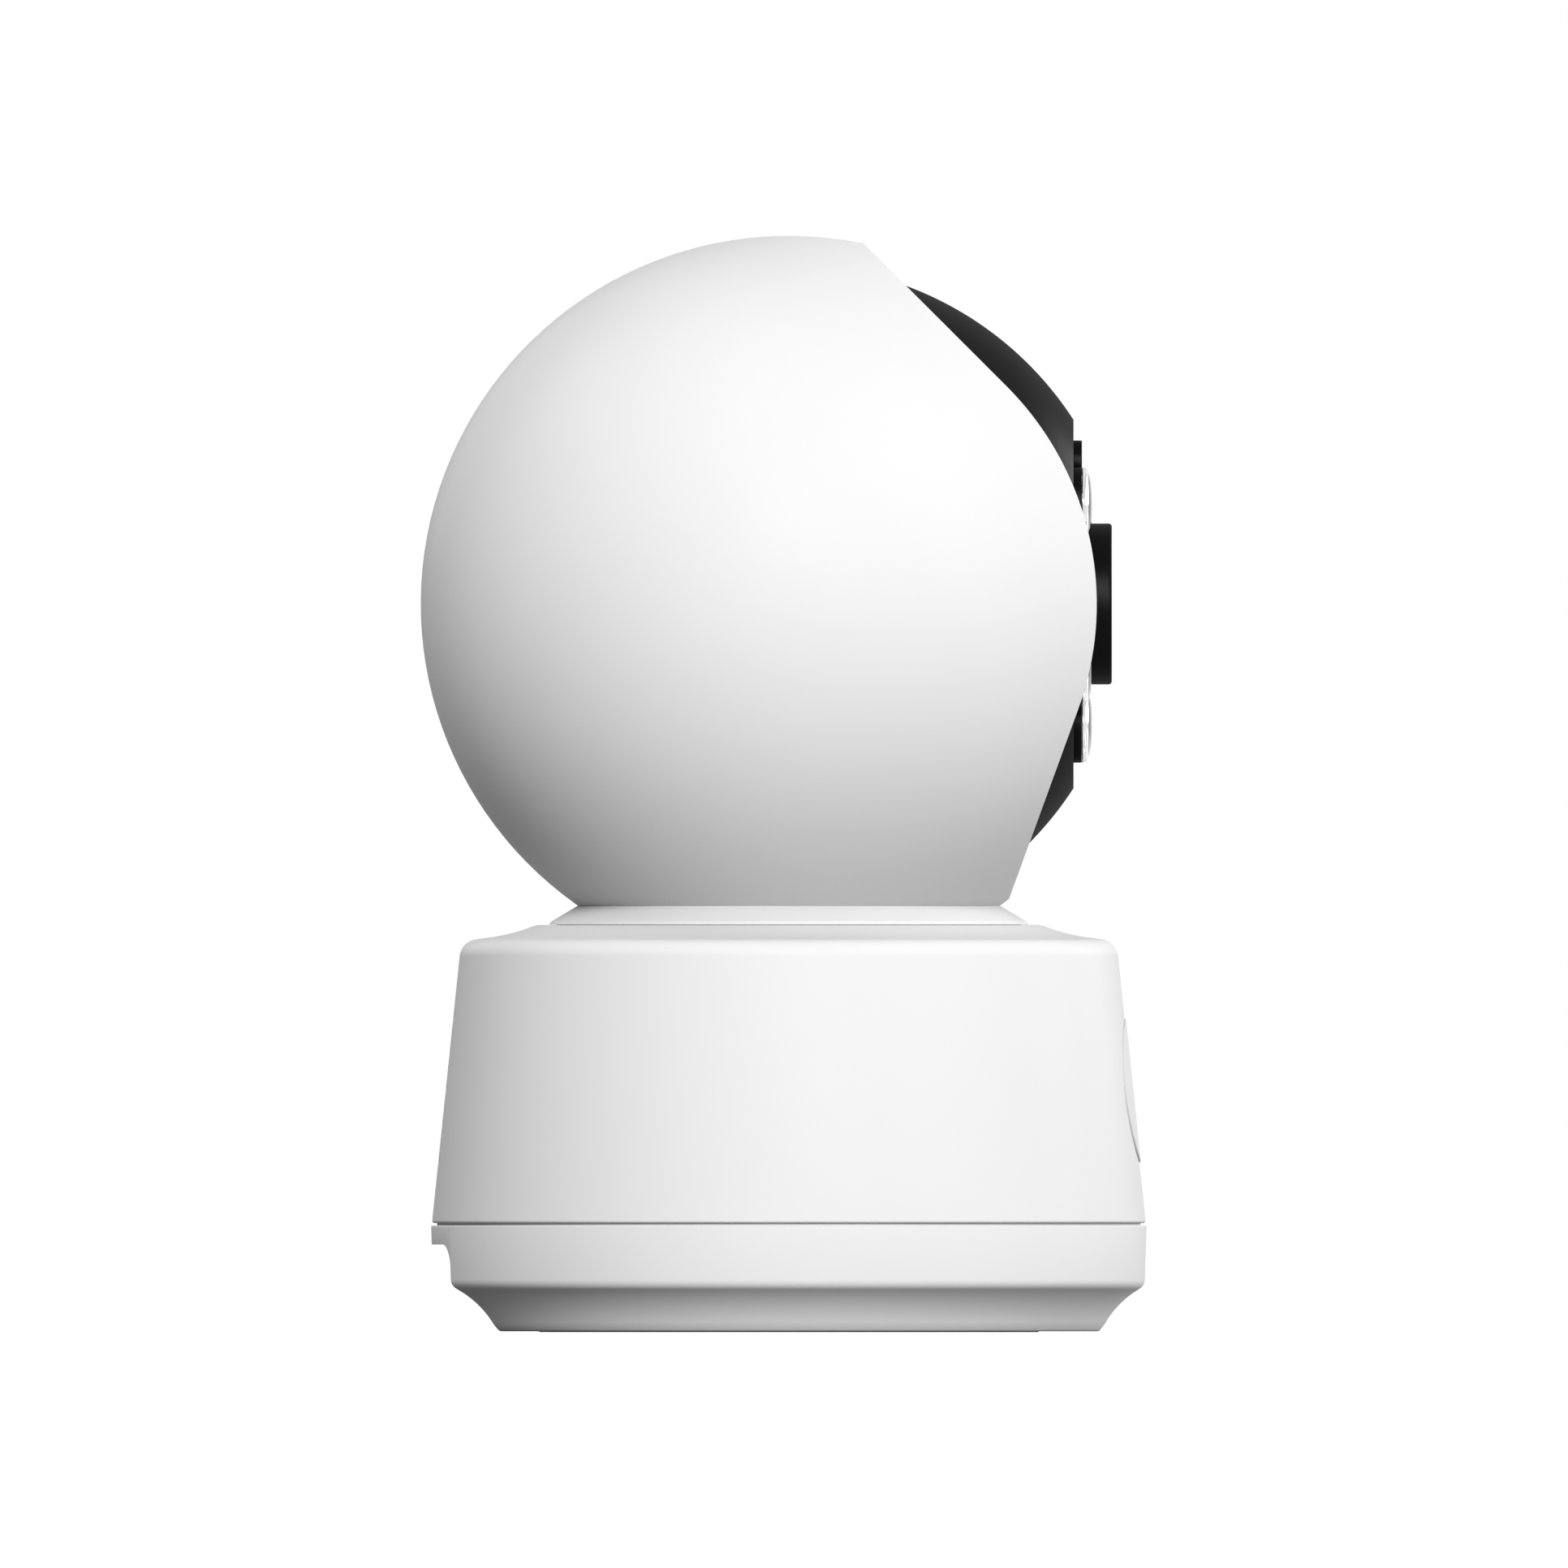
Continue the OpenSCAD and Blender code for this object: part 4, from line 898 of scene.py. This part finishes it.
class SocketOperator(bpy.types.Operator):
    """Builds the power socket: a plated shell, its black lining and the tongue in it."""

    bl_idname = "camera.build_socket"
    bl_label = "Power Socket"

    def execute(self, context):
        wall, play, back, mouth = 0.3, 0.01, 22.3, 27.8
        shell = prism(self.outline(0, 0.7), back, mouth)
        shell.name = "socket_shell"
        carve(shell, prism(self.outline(wall, 0.5), back + 0.5, mouth + 1.2))
        bevel_edges(shell, lambda a, b: min(a.y, b.y) > mouth - 0.1, 0.08, 2)
        complete(shell, "base", "plated_steel", "power_socket")
        lining = prism(self.outline(wall + play, 0.49), back + 0.5 + play, mouth - 0.5)
        carve(lining, prism(self.outline(0.5, 0.4), back + 0.8, mouth + 1.2))
        tongue = prism(slot_outline(2, 5, 5.6, 0.1), back + 0.7, mouth - 0.8)
        core = joined([lining, tongue])
        core.name = "socket_lining"
        complete(core, "base", "black_plastic")
        return {"FINISHED"}

    def outline(self, inset, radius):
        """The shell's outline, made smaller all round."""
        return slot_outline(3.8 - inset, 3.8 + inset, 6.6 - inset, radius)


class BaseTrimOperator(bpy.types.Operator):
    """Builds the rubber foot ring, the threaded insert and the blank disc on the front."""

    bl_idname = "camera.build_base_trim"
    bl_label = "Foot, Insert and Disc"

    def execute(self, context):
        complete(self.foot(), "base", "foot_rubber", "foot_ring")
        complete(self.insert(), "base", "brass", "tripod_insert")
        complete(blank_disc(), "base", "badge", "front_badge")
        return {"FINISHED"}

    def foot(self):
        """A ring with three fine grooves in the face that it stands on."""
        inner, outer, low, high, corner = 24.05, 27.35, 0.02, 0.98, 0.12
        grooves = []
        for i in range(3):
            start = 24.9 + 0.8 * i
            grooves += [(start, low), (start + 0.25, low + 0.1), (start + 0.4, low + 0.1),
                        (start + 0.65, low)]
        return turned("foot_pad", rounded([(inner, high), (inner, low, corner)] + grooves
                                          + [(outer, low, corner), (outer, high)]))

    def insert(self):
        """A turned insert with five rings for the thread."""
        pitch, minor, major, top = 1.27, 2.59, 3.1, 7.2
        body = [(4.45, 0.25, 0.1), (4.45, top), (minor + 0.5, top)]
        thread = []
        for i in range(5):
            start = top - 0.3 - i * pitch
            thread += [(minor, start), (minor, start - 0.16), (major, start - 0.58),
                       (major, start - 0.74)]
        return turned("tripod_bush", rounded(body + thread + [(3.4, 0.25)]), 96)


def blank_disc():
    """A plain disc that follows the front of the base, with a rounded rim."""
    proud, rim, thickness = 0.15, 0.1, 0.5
    deselect_all()
    bpy.ops.mesh.primitive_circle_add(vertices=96, radius=DISC_RADIUS, fill_type="NGON")
    piece = bpy.context.object
    piece.name = "front_disc"
    edit_all(piece)
    for step in (0.1, 0.12, 1.2, 1.6, 1.6, 1.6, 1.2):
        bpy.ops.mesh.inset(thickness=step, depth=0)
    object_mode()
    for vert in piece.data.vertices:
        x, z = vert.co.x, DISC_HEIGHT + vert.co.y
        inwards = DISC_RADIUS - math.hypot(vert.co.x, vert.co.y)
        lift = proud - rim * max(0, 1 - inwards / rim) ** 2
        reach = wall_radius(z) + lift
        vert.co = (x, -math.sqrt(reach**2 - x**2), z)
    edit_all(piece)
    bpy.ops.mesh.extrude_region_move(TRANSFORM_OT_translate={"value": (0, thickness, 0)})
    bpy.ops.mesh.select_all(action="SELECT")
    bpy.ops.mesh.normals_make_consistent(inside=False)
    object_mode()
    return piece


# ---------- camera ball ----------

# Half width of the ball between its two flat cheeks, outside and inside, and its wall.
CHEEK, CHEEK_INSIDE, BALL_WALL = 23.6, 22, 1.6
# Places on the face: angles about the lens, seen from the front, and distances from its axis.
LIGHT_ANGLES = [90 + 40 * i for i in range(1, 9)]
WHITE_ANGLES = [210, 330]
SENSOR_PLACE = (90, 15.4)
MICROPHONE_PLACE = (-90, 17.4)
# Direction of the card slot and the reset button, counted up from the lens.
SLOT_ELEVATION = -68
# Radius of the hole under each light, and how far its collar stands off the face.
LIGHT_BORE, LIGHT_PROUD = 3.4, 0.92


def ball_solid(name, outline, half):
    """A turned form of the ball, trimmed to its two flat cheeks."""
    piece = moved(turned(name, outline), lens_place())
    for side in (-1, 1):
        trim(piece, (side * half, 0, 0), (side, 0, 0))
    return piece


def on_face(angle, pitch):
    """A place on the flat face, seen from the front as this angle about the lens."""
    a = math.radians(angle)
    return lens_place() @ Matrix.Translation((pitch * math.cos(a), pitch * math.sin(a), 0))


class BallOperator(bpy.types.Operator):
    """Builds the two glossy black parts of the ball, with the holes in its face."""

    bl_idname = "camera.build_ball"
    bl_label = "Ball"

    def execute(self, context):
        s = sizes()
        radius = mm(s.ball_radius)
        front = self.front(radius, mm(s.face_distance))
        self.cut_face(front, mm(s.light_pitch))
        complete(front, "camera", "black_shell", "ball_front")
        complete(self.rear(radius), "camera", "black_shell", "ball_rear")
        return {"FINISHED"}

    def front(self, radius, face):
        """The hollow front part, from its flat face to the seam."""
        inside, face_inside = radius - BALL_WALL, face - BALL_WALL
        rim = math.degrees(math.acos(face / radius))
        flat = radius * math.sin(math.radians(rim))
        shell = arc((0, 0), radius, 0, 90 - rim, 40)
        corners = [(8, face), (flat, face, 0.3)] + shell[::-1][1:]
        front = ball_solid("ball_face", [(0, face)] + rounded(corners) + [(0, 0)], CHEEK)
        rim_inside = math.degrees(math.acos(face_inside / inside))
        room = [(0, face_inside)] + arc((0, 0), inside, 90 - rim_inside, 0, 24)
        carve(front, ball_solid("room", room + [(inside, -1), (0, -1)], CHEEK_INSIDE))
        return front

    def cut_face(self, front, light_pitch):
        """Bores for the lens, lights, sensor and microphone, the card slot and the button."""
        carve(front, moved(drum(7.95, 20, 40, 96), lens_place()))
        for angle in LIGHT_ANGLES:
            carve(front, moved(drum(LIGHT_BORE, 25, 40), on_face(angle, light_pitch)))
        carve(front, moved(drum(2, 25, 40), on_face(*SENSOR_PLACE)))
        carve(front, moved(drum(0.5, 30, 40, 24), on_face(*MICROPHONE_PLACE)))
        slot, button = block((-12.2, -1, 31), (0.2, 1, 41)), drum(1.28, 31, 41, 32, 3.5)
        for cutter in (slot, button):
            carve(front, moved(cutter, lens_place(SLOT_ELEVATION)))

    def rear(self, radius):
        """The hollow rear part, from the seam to its flat back."""
        back, gap, gap_angle = 7.5, 0.04, 0.06
        inside, floor = radius - BALL_WALL, 1.5 - back
        end = math.degrees(math.asin(back / radius))
        shell = arc((0, 0), radius, -end, -gap_angle, 12)
        outline = rounded([(shell[0][0], -back, 0.3)] + shell[1:])
        rear = ball_solid("ball_back", [(0, -back)] + outline + [(0, -gap)], CHEEK)
        room = [(0, floor), (34, floor)] + arc((0, 0), inside, -9, 0, 6)
        carve(rear, ball_solid("room", room + [(inside, 1), (0, 1)], CHEEK_INSIDE))
        return rear


def bulge(radius, start, rise, steps):
    """A curve from just inside a rim to the axis, where it has risen or sunk by this much."""
    return [(radius * i / steps, start + rise * (1 - (i / steps) ** 2))
            for i in range(steps - 1, -1, -1)]


class LensOperator(bpy.types.Operator):
    """Builds the bezel, the front glass, the ribbed barrel and the lens elements."""

    bl_idname = "camera.build_lens"
    bl_label = "Lens"

    def execute(self, context):
        for piece, slot, node in ((self.bezel(), "black_shell", "lens_bezel"),
                                  (self.window(), "lens_glass", "front_glass"),
                                  (self.barrel(), "black_plastic", "lens_barrel"),
                                  (self.elements(), "lens_glass", "lens_elements")):
            complete(moved(piece, lens_place()), "camera", slot, node)
        return {"FINISHED"}

    def bezel(self):
        """A ring with four steps down to the glass, and the tube behind it."""
        s = sizes()
        wide, front, face = mm(s.bezel_radius), mm(s.bezel_distance), mm(s.face_distance)
        seat, tube, back = 33.2, 6.2, 27.5
        steps = []
        for i in range(4):
            radius, high = 7.3 - 0.17 * i, front - 0.45 - 0.22 * i
            steps += [(radius, high), (radius, high - 0.22)]
        return turned("lens_ring", rounded(
            [(wide, face), (wide, front, 0.35), (7.55, front, 0.12)] + steps
            + [(6.62, 34), (6.62, seat), (tube, seat), (tube, back), (7.9, back), (7.9, face)]))

    def window(self):
        """The front glass, with a flat back and a softly domed front."""
        wide, back, middle, bow, front = 6.58, 33.22, 33.72, 0.26, 33.98
        dome = [(wide * math.cos(a), middle + bow * math.sin(a))
                for a in (math.radians(9 * i) for i in range(10))]
        return turned("lens_window", [(0, back), (6.3, back), (wide, 33.3)] + dome + [(0, front)],
                      128)

    def barrel(self):
        """A black tube with six fine ribs inside its mouth, and a stop at each end."""
        outer, mouth, bore = 5.9, 32.7, 4.95
        ribs = []
        for i in range(6):
            low = 29.8 + 0.34 * i
            ribs += [(bore, low), (bore + 0.17, low + 0.08), (bore + 0.17, low + 0.26)]
        return turned("lens_tube", rounded(
            [(2.8, 20.6), (outer, 20.6), (outer, mouth, 0.15), (5.4, mouth, 0.1)] + ribs[::-1]
            + [(bore, 29.65), (4.2, 29.65), (4.2, 25.6), (3.4, 25.6), (3.4, 21.4),
               (2.8, 21.4)]), 128)

    def elements(self):
        """The front, middle and back elements: radius, back, edge of the front, and its bow."""
        lenses = ((4.85, 29.62, 29.62, 1.9, 12), (4.1, 25.7, 26.9, -0.5, 8),
                  (3.3, 21.5, 22.4, 0.6, 8))
        made = []
        for radius, back, edge, bow, steps in lenses:
            outline = [(0, back), (radius, back)]
            if edge > back:
                outline.append((radius, edge))
            made.append(turned("lens_stack", outline + bulge(radius, edge, bow, steps), 96))
        stack = joined(made)
        stack.name = "lens_stack"
        return stack


class LightsOperator(bpy.types.Operator):
    """Builds the collars, clear domes and chips of the night lights, and the light sensor."""

    bl_idname = "camera.build_lights"
    bl_label = "Night Lights"

    def execute(self, context):
        s = sizes()
        wide, face = mm(s.light_radius), mm(s.face_distance)
        top = face + LIGHT_PROUD
        foot, shelf = face - 0.02, top - 0.02
        collar = turned("light_collar", rounded([
            (LIGHT_BORE, foot), (wide, foot), (wide, shelf, 0.12), (LIGHT_BORE, shelf, 0.1)]), 72)
        self.set_around(collar, "light_collar", LIGHT_ANGLES, "black_shell", "led_collars")
        self.set_around(self.dome(wide, top), "light_dome", LIGHT_ANGLES, "clear_dome",
                        "led_lenses")
        board, edge = 29.62, 30.3
        chip = turned("light_chip", [(0, board), (1.0, board), (1.5, edge - 0.1), (1.42, edge)]
                      + bulge(1.42, edge, 0.14, 6), 40)
        cold = [angle for angle in LIGHT_ANGLES if angle not in WHITE_ANGLES]
        self.set_around(copied(chip, "white_chip"), "white_chip", WHITE_ANGLES, "phosphor",
                        "white_leds")
        self.set_around(chip, "ir_chip", cold, "ir_chip", "ir_leds")

        back, seat, rim = face - 1.6, 1.95, 2.5
        window = turned("sensor_window", [(0, back)] + rounded([
            (seat, back), (seat, face), (rim, face), (rim, top, 0.12), (1.9, top, 0.1)])
            + [(1.7, top - 0.12), (0, top - 0.05)], 72)
        complete(moved(window, on_face(*SENSOR_PLACE)), "camera", "black_shell", "light_sensor")
        return {"FINISHED"}

    def dome(self, wide, low):
        """A hollow clear dome on a short straight lip, with a skirt that drops into its hole."""
        rise, lip, wall, crown = 1.1, 0.1, 0.36, 0.32
        skirt, skirt_wall, depth = 3.05, 0.29, 1.3

        def bow(reach, height):
            """A full, flattened quarter arch from the lip towards the top."""
            angles = [math.radians(6 * i) for i in range(15)]
            return [(reach * math.cos(a)**0.8, low + lip + height * math.sin(a)**0.9)
                    for a in angles]

        inner = bow(wide - wall, rise - lip - crown)
        outer = bow(wide, rise - lip)
        rim = [(skirt, low), (skirt, low - depth), (skirt + skirt_wall, low - depth),
               (skirt + skirt_wall, low), (wide, low)]
        return turned("light_dome", [(0, low + rise - crown)] + inner[::-1] + rim + outer
                      + [(0, low + rise)], 128)

    def set_around(self, first, name, angles, slot, node):
        """Sets one copy of a piece at each angle about the lens, joined into one set."""
        pitch = mm(sizes().light_pitch)
        pieces = [moved(copied(first, name), on_face(angle, pitch)) for angle in angles]
        bpy.data.objects.remove(first)
        made = joined(pieces)
        made.name = name + "s"
        complete(made, "camera", slot, node)


# ---------- inner parts and stage ----------

# Strength of the even light all round, and the radius of the floor in metres.
AMBIENT, FLOOR_RADIUS = 0.28, 1.4
# Distance of the lamps in metres, and the height that they are turned to.
LIGHT_DISTANCE, LIGHT_AIM = 2.5, 0.065
# Name, direction in degrees (counted from +X towards +Y), height in degrees, diameter in metres
# and power.
SOFT_LIGHTS = [
    ("side_key", 180, 26, 1.15, 34.5),
    ("side_low", 195, 12, 1.0, 17.0),
    ("front_near", 225, 12, 1.0, 4.9),
    ("front", 285, 12, 1.0, 17.0),
    ("front_far", 315, 12, 1.0, 21.0),
    ("far_side", 25, 14, 1.0, 9.0),
    ("back", 62, 42, 1.0, 10.0),
]
# Width and height of what the camera sees, and its place beside the object, in metres.
VIEW_WIDTH, VIEW_PLACE = 0.1716, (-1, 0.00053, 0.06)


class InnerOperator(bpy.types.Operator):
    """Gives every part that is kept from the frame its finish."""

    bl_idname = "camera.finish_inner"
    bl_label = "Inner Parts"

    def execute(self, context):
        wanted = {row["node"]: row["material_slot"] for row in frame["record"]["subparts"]}
        for name, node in NODES.items():
            for slot in node.material_slots:
                slot.material = finish(wanted[name])
        return {"FINISHED"}


def seen_directly(w):
    """One where the camera, gloss or a clear piece shows a surface, and nought in soft light."""
    ray = w.add("ShaderNodeLightPath").outputs
    return w.maths("MAXIMUM", w.maths("MAXIMUM", ray["Is Camera Ray"], ray["Is Glossy Ray"]),
                   ray["Is Transmission Ray"])


class StageOperator(bpy.types.Operator):
    """Sets the pale floor, the soft lights, the white surroundings and the camera."""

    bl_idname = "camera.set_stage"
    bl_label = "Stage"

    def execute(self, context):
        scene = context.scene
        scene.view_settings.view_transform = "Standard"
        self.floor()
        self.surroundings(scene)
        for name, turn, height, size, power in SOFT_LIGHTS:
            self.soft_light(scene, name, math.radians(turn), math.radians(height), size, power)
        lens = bpy.data.cameras.new("view")
        lens.type = "ORTHO"
        lens.ortho_scale = VIEW_WIDTH
        viewer = bpy.data.objects.new("view", lens)
        viewer.location = VIEW_PLACE
        viewer.rotation_euler = (math.radians(90), 0, math.radians(-90))
        scene.collection.objects.link(viewer)
        scene.camera = viewer
        return {"FINISHED"}

    def floor(self):
        """A pale floor that keeps the shadow and turns to the white of the surroundings far off."""
        deselect_all()
        bpy.ops.mesh.primitive_circle_add(vertices=96, radius=FLOOR_RADIUS, fill_type="NGON")
        floor = bpy.context.object
        floor.name = "floor"
        made, w, shader = shader_for("floor_paper")
        place = w.place()
        tone = w.vary(w.noise(place, 40.0), 0.0, 1.0)
        pale = w.blend(tone, (0.86, 0.86, 0.86, 1), (0.88, 0.88, 0.88, 1))
        # Painted shade: the floor shows bounced light a dark tone, which keeps the undersides above
        # it darker.
        painted_bounce_shade = (0.1, 0.1, 0.1, 1)
        seen = seen_directly(w)
        w.feed(shader.inputs["Base Color"], w.blend(seen, painted_bounce_shade, pale))
        shader.inputs["Emission Color"].default_value = (1, 1, 1, 1)
        reach = w.add("ShaderNodeVectorMath", operation="LENGTH")
        w.feed(reach.inputs[0], place)
        white = w.spread(reach.outputs["Value"], 0.4 * FLOOR_RADIUS, FLOOR_RADIUS, 0.3, 0.9)
        w.feed(shader.inputs["Emission Strength"], w.maths("MULTIPLY", seen, white))
        shader.inputs["Roughness"].default_value = 0.9
        shader.inputs["Specular IOR Level"].default_value = 0.1
        floor.data.materials.append(made)

    def surroundings(self, scene):
        """Even soft light all round, seen as white by the camera and in gloss and glass."""
        scene.world = bpy.data.worlds.new("surroundings")
        scene.world.use_nodes = True
        w = Wiring(scene.world.node_tree)
        back = scene.world.node_tree.nodes["Background"]
        w.feed(back.inputs["Strength"], w.spread(seen_directly(w), 0.0, 1.0, AMBIENT, 1.0))
        back.inputs["Color"].default_value = (1, 1, 1, 1)

    def soft_light(self, scene, name, turn, height, size, power):
        """A round soft box, turned towards the middle of the object."""
        lamp = bpy.data.lights.new(name, "AREA")
        lamp.shape = "DISK"
        lamp.size = size
        lamp.energy = power
        out = Vector((math.cos(height) * math.cos(turn), math.cos(height) * math.sin(turn),
                      math.sin(height)))
        holder = bpy.data.objects.new(name, lamp)
        holder.location = out * LIGHT_DISTANCE + Vector((0, 0, LIGHT_AIM))
        holder.rotation_euler = (-out).to_track_quat("-Z", "Y").to_euler()
        scene.collection.objects.link(holder)


# ---------- panel and registration ----------

OPERATORS = (HeadOperator, TurntableOperator, HousingOperator, TrayOperator, SocketOperator,
             BaseTrimOperator, BallOperator, LensOperator, LightsOperator, InnerOperator,
             StageOperator)


class CameraPanel(bpy.types.Panel):
    """Lists the pieces, the sizes and the colours."""

    bl_idname = "VIEW3D_PT_pan_tilt_camera"
    bl_label = "Pan and Tilt Camera"
    bl_space_type = "VIEW_3D"
    bl_region_type = "UI"
    bl_category = "Camera"

    def draw(self, context):
        for group in (context.scene.camera_sizes, context.scene.camera_colours):
            box = self.layout.box()
            for name in group.__annotations__:
                box.prop(group, name)
        for operator in OPERATORS:
            self.layout.operator(operator.bl_idname)


CLASSES = (CameraSizes, CameraColours, *OPERATORS, CameraPanel)


def register():
    for item in CLASSES:
        bpy.utils.register_class(item)
    bpy.types.Scene.camera_sizes = PointerProperty(type=CameraSizes)
    bpy.types.Scene.camera_colours = PointerProperty(type=CameraColours)


def unregister():
    del bpy.types.Scene.camera_colours
    del bpy.types.Scene.camera_sizes
    for item in reversed(CLASSES):
        bpy.utils.unregister_class(item)


def main():
    register()
    for operator in OPERATORS:
        family, name = operator.bl_idname.split(".")
        getattr(getattr(bpy.ops, family), name)()


if __name__ == "__main__":
    main()
